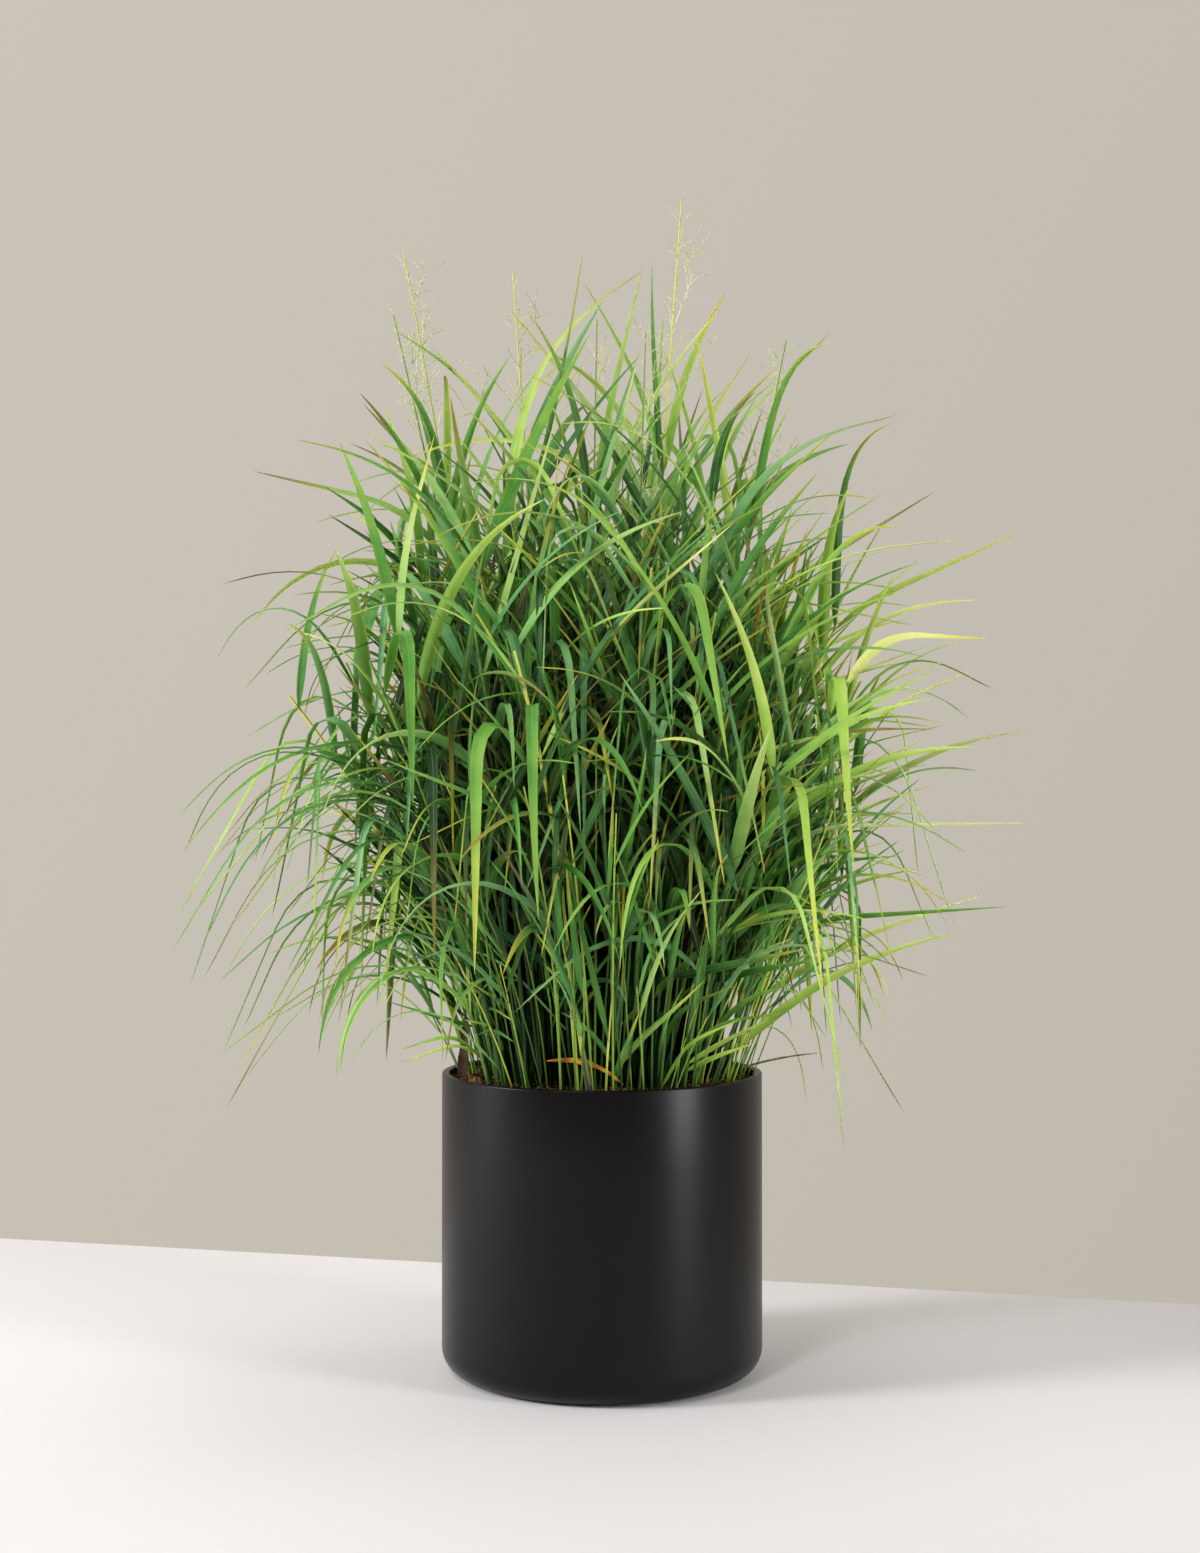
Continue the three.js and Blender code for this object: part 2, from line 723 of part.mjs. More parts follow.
function planterSolid() {
  const { radius, height, wall, floor, baseRound, rimRound, sides } = planter;
  const profile = [
    new THREE.Vector2(0, 0),
    ...arc(radius - baseRound, baseRound, baseRound, -90, 0, 3),
    ...arc(radius - rimRound, height - rimRound, rimRound, 0, 90, 1),
    ...arc(radius - wall + rimRound, height - rimRound, rimRound, 90, 180, 1),
    new THREE.Vector2(radius - wall, floor),
    new THREE.Vector2(0, floor),
  ];
  return toSolid(new THREE.LatheGeometry(profile, sides).rotateX(Math.PI / 2));
}

// A plug that fills the planter, with a low mound whose inner places are a little uneven.
function soilSolid() {
  const edge = planter.radius - planter.wall - CLEAR;
  const bottom = planter.floor + CLEAR;
  const profile = [new THREE.Vector2(0, bottom), new THREE.Vector2(edge, bottom)];
  for (let ring = 0; ring <= soil.rings; ring++) {
    const inward = ring / soil.rings;
    const level = soil.edgeLevel + soil.mound * Math.sin((inward * Math.PI) / 2);
    profile.push(new THREE.Vector2(edge * (1 - inward), level));
  }
  const lathe = new THREE.LatheGeometry(profile, planter.sides).rotateX(Math.PI / 2);
  const merged = mergedByPlace(lathe, 1e-3);
  const places = merged.attributes.position;
  for (let i = 0; i < places.count; i++) {
    const inside = Math.hypot(places.getX(i), places.getY(i)) < edge - 1;
    if (inside && places.getZ(i) > planter.height / 2) {
      places.setZ(i, places.getZ(i) + between(-soil.roughness, soil.roughness, i, 31));
    }
  }
  return toSolid(merged);
}

// The hole that a stem stands in follows its lowest stretch. A triangle's sides lie half as far
// from its middle as its corners do, so the corners move out by twice the gap.
function holeSolid(stem) {
  const foot = stem.points[0];
  const along = pointAt(stem.points, culm.stations[1]).sub(foot);
  along.divideScalar(along.z);
  const bottom = foot.clone().addScaledVector(along, -CLEAR);
  const top = foot.clone().addScaledVector(along, culm.rootDepth + 3 * soil.mound);
  const radius = culm.baseRadius + 2 * CLEAR;
  return toSolid(loft([levelSection(bottom, radius), levelSection(top, radius)]));
}

const group = new THREE.Group();

function addMesh(name, solid, material) {
  const mesh = new THREE.Mesh(toGeometry(solid), material);
  mesh.name = name;
  group.add(mesh);
}

addMesh("planter", planterSolid(), planterBlack);

const holes = [...stems.map(holeSolid), toSolid(loft(sheathRings(CLEAR)))];
addMesh("soil", soilSolid().subtract(wasm.Manifold.union(holes)), pottingMix);
addMesh("dried_sheath", toSolid(loft(sheathRings(0))), driedLeaf);

for (const stem of stems) {
  const strands = [stem, ...stem.sprouts].map(({ rings }) => toSolid(loft(rings)));
  addMesh(`culm_${String(stem.owner).padStart(2, "0")}`, wasm.Manifold.union(strands), grassGreen);
}

export default group;
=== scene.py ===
import math

import bpy
import numpy as np
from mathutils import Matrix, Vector


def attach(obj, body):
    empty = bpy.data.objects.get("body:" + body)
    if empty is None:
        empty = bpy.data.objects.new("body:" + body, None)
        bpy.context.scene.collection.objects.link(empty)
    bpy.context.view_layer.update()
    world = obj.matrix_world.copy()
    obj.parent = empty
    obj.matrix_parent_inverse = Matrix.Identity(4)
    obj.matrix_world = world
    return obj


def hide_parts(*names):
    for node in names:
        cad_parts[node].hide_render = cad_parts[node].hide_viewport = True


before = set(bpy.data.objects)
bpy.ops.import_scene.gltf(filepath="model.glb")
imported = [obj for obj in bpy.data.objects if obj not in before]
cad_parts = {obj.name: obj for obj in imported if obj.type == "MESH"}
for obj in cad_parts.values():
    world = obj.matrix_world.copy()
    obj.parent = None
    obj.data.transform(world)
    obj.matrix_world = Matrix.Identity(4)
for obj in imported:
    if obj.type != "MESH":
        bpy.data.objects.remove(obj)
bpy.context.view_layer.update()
print("frame loaded,", len(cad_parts), "nodes")

degree = math.pi / 180
goldenAngle = math.pi * (3 - math.sqrt(5))
perMetre = 1000.0  # sizes below are in millimetres, meshes are in metres
scene = bpy.context.scene


view = {
    "distance": 2400,
    "height": 615,
    "focal": 2184,  # in pixels of the 1200 x 1553 frame
    "frameHigh": 1553,
    "frameWide": 1200,
    "horizon": 806,  # pixel row at the camera's own height
    "middle": 602,  # pixel column of the planter's axis
}


def makeCamera():
    data = bpy.data.cameras.new("camera")
    data.sensor_width = 36.0
    data.lens = view["focal"] / view["frameHigh"] * data.sensor_width
    camera = bpy.data.objects.new("camera", data)
    scene.collection.objects.link(camera)
    pitch = math.atan((view["horizon"] - view["frameHigh"] / 2) / view["focal"])
    yaw = math.atan((view["middle"] - view["frameWide"] / 2) / view["focal"])
    camera.location = (0, -view["distance"] / perMetre, view["height"] / perMetre)
    camera.rotation_euler = (math.pi / 2 + pitch, 0, yaw)
    scene.camera = camera


makeCamera()


def toLinear(code):
    channels = [int(code[i:i + 2], 16) / 255 for i in (1, 3, 5)]
    linear = [c / 12.92 if c <= 0.04045 else ((c + 0.055) / 1.055) ** 2.4 for c in channels]
    return (*linear, 1.0)


# gives a node's inputs a value or a link each
def setInputs(tree, node, inputs):
    for name, value in inputs.items():
        if isinstance(value, bpy.types.NodeSocket):
            tree.links.new(value, node.inputs[name])
        else:
            node.inputs[name].default_value = value


# adds a node, with its settings and the values or links of its inputs
def addNode(tree, kind, settings=None, inputs=None):
    node = tree.nodes.new(kind)
    for name, value in (settings or {}).items():
        setattr(node, name, value)
    setInputs(tree, node, inputs or {})
    return node


# settings that many nodes share
mixColours = {"data_type": "RGBA"}
multiplyColours = {"data_type": "RGBA", "blend_type": "MULTIPLY"}
multiplyAdd = {"operation": "MULTIPLY_ADD"}
multiply = {"operation": "MULTIPLY"}
greaterThan = {"data_type": "FLOAT", "operation": "GREATER_THAN"}


def setRamp(node, stops):
    elements = node.color_ramp.elements
    while len(elements) < len(stops):
        elements.new(0.5)
    for element, (place, colour) in zip(elements, stops):
        element.position = place
        element.color = toLinear(colour)


def newMaterial(name):
    material = bpy.data.materials.new(name)
    material.use_nodes = True
    tree = material.node_tree
    tree.nodes.clear()
    shader = addNode(tree, "ShaderNodeBsdfPrincipled")
    addNode(tree, "ShaderNodeOutputMaterial", inputs={"Surface": shader.outputs[0]})
    return material, tree, shader


def meshObject(name, vertices, faces, edges=()):
    mesh = bpy.data.meshes.new(name)
    mesh.from_pydata([tuple(v) for v in vertices], list(edges), list(faces))
    made = bpy.data.objects.new(name, mesh)
    scene.collection.objects.link(made)
    return made


studio = {
    "wall": "#c5beb3",
    "front": "#484542",  # the unlit side of the room, behind the camera
    "turn": (-0.75, 0.35),  # where the unlit side gives way to the wall, along y
    "wallShade": (-0.17, 0.0, 0.1),  # the wall is lighter on the left and higher up
    "floor": "#eae8ea",
    "floorReach": 9.0,  # metres
    "edgeLeft": (-0.859, 0.716),  # two places on the floor's far edge
    "edgeRight": (0.740, 0.302),
}


def makeWorld():
    world = bpy.data.worlds.new("studio")
    world.use_nodes = True
    tree = world.node_tree
    tree.nodes.clear()
    place = addNode(tree, "ShaderNodeTexCoord")
    split = addNode(tree, "ShaderNodeSeparateXYZ", inputs={0: place.outputs["Generated"]})
    near, far = studio["turn"]
    fade = addNode(tree, "ShaderNodeMapRange", {"interpolation_type": "SMOOTHSTEP"},
                   {0: split.outputs["Y"], 1: near, 2: far, 3: 0.0, 4: 1.0})
    room = addNode(tree, "ShaderNodeMix", mixColours,
                   {0: fade.outputs[0], 6: toLinear(studio["front"]), 7: toLinear(studio["wall"])})
    shade = addNode(tree, "ShaderNodeVectorMath", {"operation": "DOT_PRODUCT"},
                    {0: place.outputs["Generated"], 1: studio["wallShade"]})
    strength = addNode(tree, "ShaderNodeMath", {"operation": "ADD"}, {0: shade.outputs["Value"], 1: 1.0})
    glow = addNode(tree, "ShaderNodeBackground",
                   inputs={"Color": room.outputs[2], "Strength": strength.outputs[0]})
    addNode(tree, "ShaderNodeOutputWorld", inputs={"Surface": glow.outputs[0]})
    scene.world = world


def makeFloor():
    left, right = Vector(studio["edgeLeft"]), Vector(studio["edgeRight"])
    reach = studio["floorReach"]
    along = (right - left).normalized() * reach
    left, right = left - along, right + along
    corners = [(left.x, left.y, 0), (left.x, -reach, 0), (right.x, -reach, 0), (right.x, right.y, 0)]
    floor = meshObject("studioFloor", corners, [(0, 1, 2, 3)])
    # painted board: pale and matt, with a barely visible roller texture
    material, tree, shader = newMaterial("paintedBoard")
    place = addNode(tree, "ShaderNodeTexCoord")
    grain = addNode(tree, "ShaderNodeTexNoise", inputs={"Vector": place.outputs["Object"], "Scale": 400.0})
    bump = addNode(tree, "ShaderNodeBump",
                   inputs={"Height": grain.outputs[0], "Strength": 0.05, "Distance": 0.0005})
    setInputs(tree, shader, {
        "Base Color": toLinear(studio["floor"]), "Normal": bump.outputs[0], "Roughness": 0.75})
    floor.data.materials.append(material)


lamps = [
    # name, place, aim, width, height, power, spread in degrees
    ("keyLeft", (-3.9, -1.3, 1.95), (0, 0, 0.4), 0.9, 0.9, 138, 180),
    ("keyFront", (-1.3, -2.7, 3.3), (0, 0, 0.6), 0.6, 0.6, 40, 180),
    ("softLeft", (-2.3, -0.2, 0.8), (0, 0, 0.4), 1.0, 1.8, 9, 180),
    ("stripRight", (1.88, -1.2, 0.6), (0, 0, 0.25), 0.6, 1.8, 6.5, 60),
    ("rimRight", (3.2, 1.5, 3.0), (0, 0, 0.8), 0.9, 1.2, 1.5, 60),
    ("top", (0.2, 0.3, 3.4), (0, 0, 0.8), 1.0, 1.0, 10, 180),
]


def makeLamps():
    for name, place, aim, width, height, power, spread in lamps:
        data = bpy.data.lights.new(name, "AREA")
        data.shape = "RECTANGLE"
        data.size, data.size_y, data.energy, data.spread = width, height, power, spread * degree
        lamp = bpy.data.objects.new(name, data)
        scene.collection.objects.link(lamp)
        lamp.location = place
        lamp.rotation_euler = (Vector(aim) - Vector(place)).to_track_quat("-Z", "Y").to_euler()


makeWorld()
makeFloor()
makeLamps()
scene.view_settings.view_transform = "Standard"
print("camera, world, floor and lamps made")


# living switchgrass leaf: waxy and a little glossy, ribbed lengthwise, paler below and along the midrib
leafLooks = {
    "green": [(0.0, "#051304"), (0.2, "#225817"), (0.42, "#5a9c3e"), (0.68, "#a4ca52"), (1.0, "#e6f08c")],
    "bloom": [(0.0, "#081a0c"), (0.3, "#2c5f44"), (0.6, "#6ba878"), (1.0, "#cce2b4")],
    "blotches": 0.24,  # how far they move the tone
    "halves": 0.05,  # how much lighter one half of a blade is than its middle
    "ribs": 26.0,  # real ones are 0.5 mm apart, these are drawn four to a side so that they show
    "ribShade": 0.05,
    "pale": "#a9c46c",  # the midrib and the underside
    "straw": "#d9c83c",
    "wine": "#6e2a33",
}


def makeLeafMaterial():
    looks = leafLooks
    material, tree, shader = newMaterial("livingLeaf")
    tone, cool, dry, red, across, under = [
        addNode(tree, "ShaderNodeAttribute", {"attribute_name": name}).outputs["Fac"]
        for name in ("tone", "cool", "dry", "red", "side", "under")]
    place = addNode(tree, "ShaderNodeTexCoord")
    # blotches about 25 mm across, so that no blade has one even green
    blotch = addNode(tree, "ShaderNodeTexNoise",
                     inputs={"Vector": place.outputs["Object"], "Scale": 40.0, "Detail": 3.0})
    shifted = addNode(tree, "ShaderNodeMath", multiplyAdd,
                      {0: blotch.outputs[0], 1: looks["blotches"], 2: -looks["blotches"] / 2})
    halved = addNode(tree, "ShaderNodeMath", multiplyAdd,
                     {0: across, 1: looks["halves"], 2: shifted.outputs[0]})
    toned = addNode(tree, "ShaderNodeMath", {"operation": "ADD"}, {0: halved.outputs[0], 1: tone})
    green = addNode(tree, "ShaderNodeValToRGB", inputs={0: toned.outputs[0]})
    setRamp(green, looks["green"])
    # some blades carry a blue-green bloom of wax
    waxy = addNode(tree, "ShaderNodeValToRGB", inputs={0: toned.outputs[0]})
    setRamp(waxy, looks["bloom"])
    bloom = addNode(tree, "ShaderNodeMix", mixColours, {0: cool, 6: green.outputs[0], 7: waxy.outputs[0]})
    ribs = addNode(tree, "ShaderNodeMath", multiply, {0: across, 1: looks["ribs"]})
    wave = addNode(tree, "ShaderNodeMath", {"operation": "COSINE"}, {0: ribs.outputs[0]})
    ribbed = addNode(tree, "ShaderNodeMath", multiplyAdd, {0: wave.outputs[0], 1: looks["ribShade"], 2: 1.0})
    distance = addNode(tree, "ShaderNodeMath", {"operation": "ABSOLUTE"}, {0: across})
    midrib = addNode(tree, "ShaderNodeMapRange",
                     inputs={0: distance.outputs[0], 1: 0.03, 2: 0.12, 3: 0.3, 4: 0.0})
    pale = addNode(tree, "ShaderNodeMath", multiplyAdd, {0: under, 1: 0.07, 2: midrib.outputs[0]})
    # where a blade dies back it turns straw yellow, and wine red where the cold caught it
    colour = bloom
    for share, stain in ((pale.outputs[0], "pale"), (dry, "straw"), (red, "wine")):
        colour = addNode(tree, "ShaderNodeMix", mixColours,
                         {0: share, 6: colour.outputs[2], 7: toLinear(looks[stain])})
    shaded = addNode(tree, "ShaderNodeMix", multiplyColours,
                     {0: 1.0, 6: colour.outputs[2], 7: ribbed.outputs[0]})
    gloss = addNode(tree, "ShaderNodeMapRange",
                    inputs={0: blotch.outputs[0], 1: 0.3, 2: 0.7, 3: 0.46, 4: 0.62})
    bump = addNode(tree, "ShaderNodeBump",
                   inputs={"Height": wave.outputs[0], "Strength": 0.25, "Distance": 0.0003})
    setInputs(tree, shader, {
        "Base Color": shaded.outputs[2], "Roughness": gloss.outputs[0], "Normal": bump.outputs[0], "IOR": 1.4,
        "Specular IOR Level": 0.35,
        # light passes through the thin blade
        "Subsurface Weight": 0.2, "Subsurface Radius": (0.6, 1.0, 0.25), "Subsurface Scale": 0.003})
    return material


# culm: hard, waxy and round, with the paler sheaths of its leaves and a dark ring at each joint
def makeCulmMaterial():
    material, tree, shader = newMaterial("waxyCulm")
    tone, joint = [addNode(tree, "ShaderNodeAttribute", {"attribute_name": name}).outputs["Fac"]
                   for name in ("tone", "joint")]
    place = addNode(tree, "ShaderNodeTexCoord")
    # fibres about 1 mm apart and 30 mm long
    stretched = addNode(tree, "ShaderNodeMapping",
                        inputs={"Vector": place.outputs["Object"], "Scale": (900.0, 900.0, 30.0)})
    fibre = addNode(tree, "ShaderNodeTexNoise",
                    inputs={"Vector": stretched.outputs[0], "Scale": 1.0, "Detail": 2.0})
    shifted = addNode(tree, "ShaderNodeMath", multiplyAdd, {0: fibre.outputs[0], 1: 0.3, 2: -0.15})
    toned = addNode(tree, "ShaderNodeMath", {"operation": "ADD"}, {0: shifted.outputs[0], 1: tone})
    green = addNode(tree, "ShaderNodeValToRGB", inputs={0: toned.outputs[0]})
    setRamp(green, [(0.0, "#142c0c"), (0.35, "#3f6a24"), (0.7, "#85a83a"), (1.0, "#d3d456")])
    ringed = addNode(tree, "ShaderNodeMix", mixColours,
                     {0: joint, 6: green.outputs[0], 7: toLinear("#4a3a24")})
    bump = addNode(tree, "ShaderNodeBump",
                   inputs={"Height": fibre.outputs[0], "Strength": 0.2, "Distance": 0.0003})
    gloss = addNode(tree, "ShaderNodeMapRange", inputs={0: fibre.outputs[0], 1: 0.3, 2: 0.7, 3: 0.34, 4: 0.5})
    setInputs(tree, shader, {"Base Color": ringed.outputs[2], "Roughness": gloss.outputs[0],
                             "Normal": bump.outputs[0], "IOR": 1.45})
    return material


# a material whose colour and bumps follow one noise; its noise and its colour ramp are handed back for more
def makeMottled(name, scale, detail, stops, bumpStrength, bumpDepth, roughness):
    material, tree, shader = newMaterial(name)
    place = addNode(tree, "ShaderNodeTexCoord")
    noise = addNode(tree, "ShaderNodeTexNoise",
                    inputs={"Vector": place.outputs["Object"], "Scale": scale, "Detail": detail})
    tint = addNode(tree, "ShaderNodeValToRGB", inputs={0: noise.outputs[0]})
    setRamp(tint, stops)
    bump = addNode(tree, "ShaderNodeBump",
                   inputs={"Height": noise.outputs[0], "Strength": bumpStrength, "Distance": bumpDepth})
    setInputs(tree, shader,
              {"Base Color": tint.outputs[0], "Normal": bump.outputs[0], "Roughness": roughness})
    return material, tree, shader, noise, tint, bump


# panicle: papery husks and hair-fine branches, pale straw, greener toward the branches
def makePanicleMaterial():
    stops = [(0.3, "#a8916c"), (0.45, "#d2d096"), (0.6, "#eeeec4"), (0.75, "#ddd2a8")]
    made = makeMottled("paperyHusk", 180.0, 2.0, stops, 0.2, 0.0002, 0.72)
    material, tree, shader, noise, tint, bump = made
    tone = addNode(tree, "ShaderNodeAttribute", {"attribute_name": "tone"})
    green = addNode(tree, "ShaderNodeMix", mixColours,
                    {0: tone.outputs["Fac"], 6: tint.outputs[0], 7: toLinear("#a9bd62")})
    tree.links.new(green.outputs[2], shader.inputs["Base Color"])
    return material


# leaf deep inside the clump: dull and thin, nearly black as painted shade, with a trace of brown where it
# dies
def makePaintedShadeMaterial():
    stops = [(0.3, "#040c04"), (0.5, "#0b1c09"), (0.62, "#16300f"), (0.72, "#2c2a14")]
    material, tree, shader = makeMottled("paintedShadeLeaf", 45.0, 3.0, stops, 0.3, 0.001, 0.8)[:3]
    shader.inputs["Specular IOR Level"].default_value = 0.1
    return material


leafMaterial = makeLeafMaterial()
paintedShadeMaterial = makePaintedShadeMaterial()
culmMaterial = makeCulmMaterial()
panicleMaterial = makePanicleMaterial()


# how the clump grows: sizes in millimetres, angles in radians, pairs are least and greatest
culm = {
    "count": 56, "crownRadius": 146, "bearingJitter": 0.12, "rootLevel": 297,
    "lengthInside": 660, "lengthOutside": 440, "lengthSpread": (0.82, 1.08), "rootDepth": 20,
    "leanInside": 2 * degree, "leanOutside": 14 * degree, "leanJitter": 4 * degree,
    "arch": 24 * degree, "archSpread": (0.4, 1.3), "azimuthJitter": 0.35, "veer": 0.25,
    "bend": (0.1, 1.1), "baseRadius": 2.6, "topRadius": 1.5,
    "stations": (0, 0.25, 0.5, 0.75, 1), "tries": 40,
}

blade = {
    "perInnerCulm": 5, "perOuterCulm": 9, "lowestInside": 0.4, "lowestOutside": 0.18, "highest": 0.99,
    "halfWidth": (3.6, 7.5), "shortest": 190, "longest": 345, "longestAt": 0.59, "lengthSpread": (0.75, 1.12),
    "opening": (12 * degree, 34 * degree), "turning": 50 * degree, "outTurning": (0.2, 0.9),
    "archLow": 75 * degree, "archHigh": 28 * degree, "archOutside": 25 * degree, "archStiffSide": 12 * degree,
    "archSpread": (0.3, 1.7), "veer": 0.4, "facing": (0.3, 1.3), "roll": 30 * degree, "twist": 20 * degree,
    "bend": (-0.1, 1.15), "arched": 80 * degree, "tries": 110, "shorterPerTry": 1 / 300,
}

outline = {"collar": 0.18, "collarPower": 0.6, "tipPower": 0.75, "fullness": 1.35}

# stiff blades turn a face to the light; one that arches over keeps its edge to it
light = {"from": (0, -1, 0.5), "limpArch": 110 * degree}

folded = {
    "share": 0.34, "lowest": 0.4, "highest": 0.95, "at": (0.22, 0.4), "before": 0.13, "after": 0.15,
    "hanging": (165 * degree, 180 * degree),
}

flowering = {5: 1262, 17: 1228, 9: 1222, 6: 1172, 12: 1149, 13: 1132, 10: 1108}

panicle = {
    "axisRadius": 0.8, "lean": 4 * degree, "lowest": 0.74, "highest": 0.96, "branches": 4, "jitter": 0.5,
    "longest": 105, "shortest": 35, "lengthSpread": (0.8, 1.1), "opening": (14 * degree, 34 * degree),
    "azimuthJitter": 0.6, "droop": (0, 35 * degree), "bend": (0, 1.2), "tries": 30,
}

# tip and half width of the leaves that reach out of the crown
strayTips = [
    (456, -20, 914, 5), (415, -60, 794, 5.5), (466, 10, 697, 5.5), (465, -70, 597, 6), (445, -10, 505, 4),
    (368, 0, 962, 5), (324, -30, 1041, 6), (254, 20, 1142, 5), (171, -60, 1065, 6), (377, -60, 488, 4.5),
    (346, -90, 435, 4.5), (257, -80, 250, 4), (324, -60, 286, 4), (-385, 0, 984, 4.5), (-411, -40, 855, 5),
    (-462, -20, 495, 4), (-456, 20, 418, 3.5), (-407, -30, 288, 4), (-300, -60, 380, 4.5),
    (-264, 0, 1059, 5.5),
    (-190, -30, 1120, 5), (-100, -60, 1150, 5.5), (-21, 30, 1201, 4), (47, -20, 1202, 4.5), (138, 0, 1184, 5),
]

stray = {
    "lowest": 0.25, "shortest": 160, "longest": 350, "opening": (4 * degree, 34 * degree),
    "backLean": 10 * degree, "straightest": 0.2, "bendEnd": (0.35, 1.15),
    "facing": (0.8, 1.2), "roll": 20 * degree, "twist": 20 * degree, "tries": 12000,
    "lastSection": (0.75, 0.64),  # of an arched one, and of a straighter one
}

crown = {
    "widestHeight": 590, "widest": 418, "narrowing": 0.25, "top": 1175,
    "bottom": 262, "bottomMiddle": 455, "middleHalfWidth": 330,
}

mixers = (12.9898, 78.233, 37.719, 93.989)


# looks random and is the same every time
def chance(*keys):
    angle = sum((key + 1) * mixer for key, mixer in zip(keys, mixers))
    mixed = np.sin(angle) * 43758.5453
    return mixed - np.floor(mixed)


def between(low, high, *keys):
    return low + (high - low) * chance(*keys)


def lerp(low, high, share):
    return low + (high - low) * share


def smooth(share, start, end):
    step = np.clip((share - start) / (end - start), 0, 1)
    return step * step * (3 - 2 * step)


def towards(compass):
    compass = np.asarray(compass, float)
    return np.stack([np.cos(compass), np.sin(compass), 0 * compass], -1)


# directions along, across and above a strand; a shape may hold one draw or a column of draws
def heading(shape, share):
    turn = smooth(share, *shape["bend"])
    angle = lerp(shape["rise"], shape["fall"], turn)
    compass = shape["azimuth"] + shape["veer"] * share
    level = towards(compass)
    along = level * np.sin(angle)[..., None]
    along[..., 2] = np.cos(angle)
    across = towards(compass + math.pi / 2)
    return along, across, np.cross(along, across)


# directions along, to the side of and above a blade that is rolled and twisted
def rolled(shape, share):
    along, across, upper = heading(shape, share)
    roll = (shape["roll"] + shape["twist"] * share)[..., None]
    return along, across * np.cos(roll) + upper * np.sin(roll), across * np.sin(roll) - upper * np.cos(roll)


def strandPath(shape, steps=24):
    middles = (np.arange(steps) + 0.5) / steps
    along = heading(shape, middles)[0]
    moves = along * (np.asarray(shape["length"])[..., None] / steps)
    root = np.broadcast_to(np.asarray(shape["root"], float)[..., None, :], moves[..., :1, :].shape)
    return np.concatenate([root, root + np.cumsum(moves, axis=-2)], axis=-2)


def interpolated(at, known, values):
    return np.stack([np.interp(at, known, values[:, axis]) for axis in range(3)], -1)


def pointAt(points, share):
    return interpolated(share, np.linspace(0, 1, len(points)), points)


def axisAt(stem, share):
    stations = np.array(culm["stations"])
    return interpolated(share, stations, pointAt(stem["points"], stations))


def picked(shape, i):
    return {key: tuple(pickedValue(v, i) for v in value) if key == "bend" else pickedValue(value, i)
            for key, value in shape.items()}


def pickedValue(value, i):
    if isinstance(value, np.ndarray) and value.ndim == 2:
        return value[i, 0] if value.shape[1] == 1 else value[i]
    return value


# distinct corners of each culm's solid, in millimetres; a strand of it is the draw whose tip is one of them
def nodeCorners(name):
    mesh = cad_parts[name].data
    flat = np.zeros(len(mesh.vertices) * 3, np.float32)
    mesh.vertices.foreach_get("co", flat)
    return np.unique(np.round(flat.reshape(-1, 3).astype(float) * perMetre, 3), axis=0)


def matching(places, corners, closeness=0.05):
    gaps = np.linalg.norm(places[:, None] - corners[None], axis=2).min(1)
    best = int(gaps.argmin())
    return best if gaps[best] < closeness else None


def drawCulms(index, attempts):
    outness = math.sqrt((index % culm["count"] + 0.5) / culm["count"])
    bearing = index * goldenAngle + between(-culm["bearingJitter"], culm["bearingJitter"], index, 1)
    lean = lerp(culm["leanInside"], culm["leanOutside"], outness ** 1.3)
    rise = lean + between(-culm["leanJitter"], culm["leanJitter"], index, 2, attempts)
    jitter = culm["azimuthJitter"] / (0.3 + outness)
    flowers = index in flowering
    root = towards(bearing) * culm["crownRadius"] * outness
    root[2] = culm["rootLevel"]
    shape = {
        "index": index, "outness": outness, "flowers": flowers, "root": root,
        "azimuth": bearing + between(-jitter, jitter, index, 3, attempts),
        "veer": between(-culm["veer"], culm["veer"], index, 4, attempts),
        "rise": rise, "bend": culm["bend"],
        "tipRadius": panicle["axisRadius"] if flowers else culm["topRadius"],
    }
    if flowers:
        shape["fall"] = rise + panicle["lean"]
        shape["length"] = (flowering[index] - culm["rootLevel"]) / np.cos(rise + panicle["lean"] / 2)
    else:
        grown = lerp(culm["lengthInside"], culm["lengthOutside"], outness ** 2)
        shape["fall"] = rise + culm["arch"] * outness ** 2 * between(*culm["archSpread"], index, 5, attempts)
        shape["length"] = culm["rootDepth"] + grown * between(*culm["lengthSpread"], index, 6) + 0 * rise
    return shape


def leanTowards(stem, share, compass):
    along = heading(stem, np.asarray(share))[0]
    return np.arcsin((along * towards(compass)).sum(-1))


# the roll that turns the middle of a blade to the light
def fullRoll(shape):
    along, across, upper = heading(shape, np.asarray(0.5))
    return np.arctan(-(across @ light["from"]) / (upper @ light["from"]))


def rollToLight(shape):
    stiffness = np.maximum(0, 1 - (shape["fall"] - shape["rise"]) / light["limpArch"])
    return stiffness * fullRoll(shape)


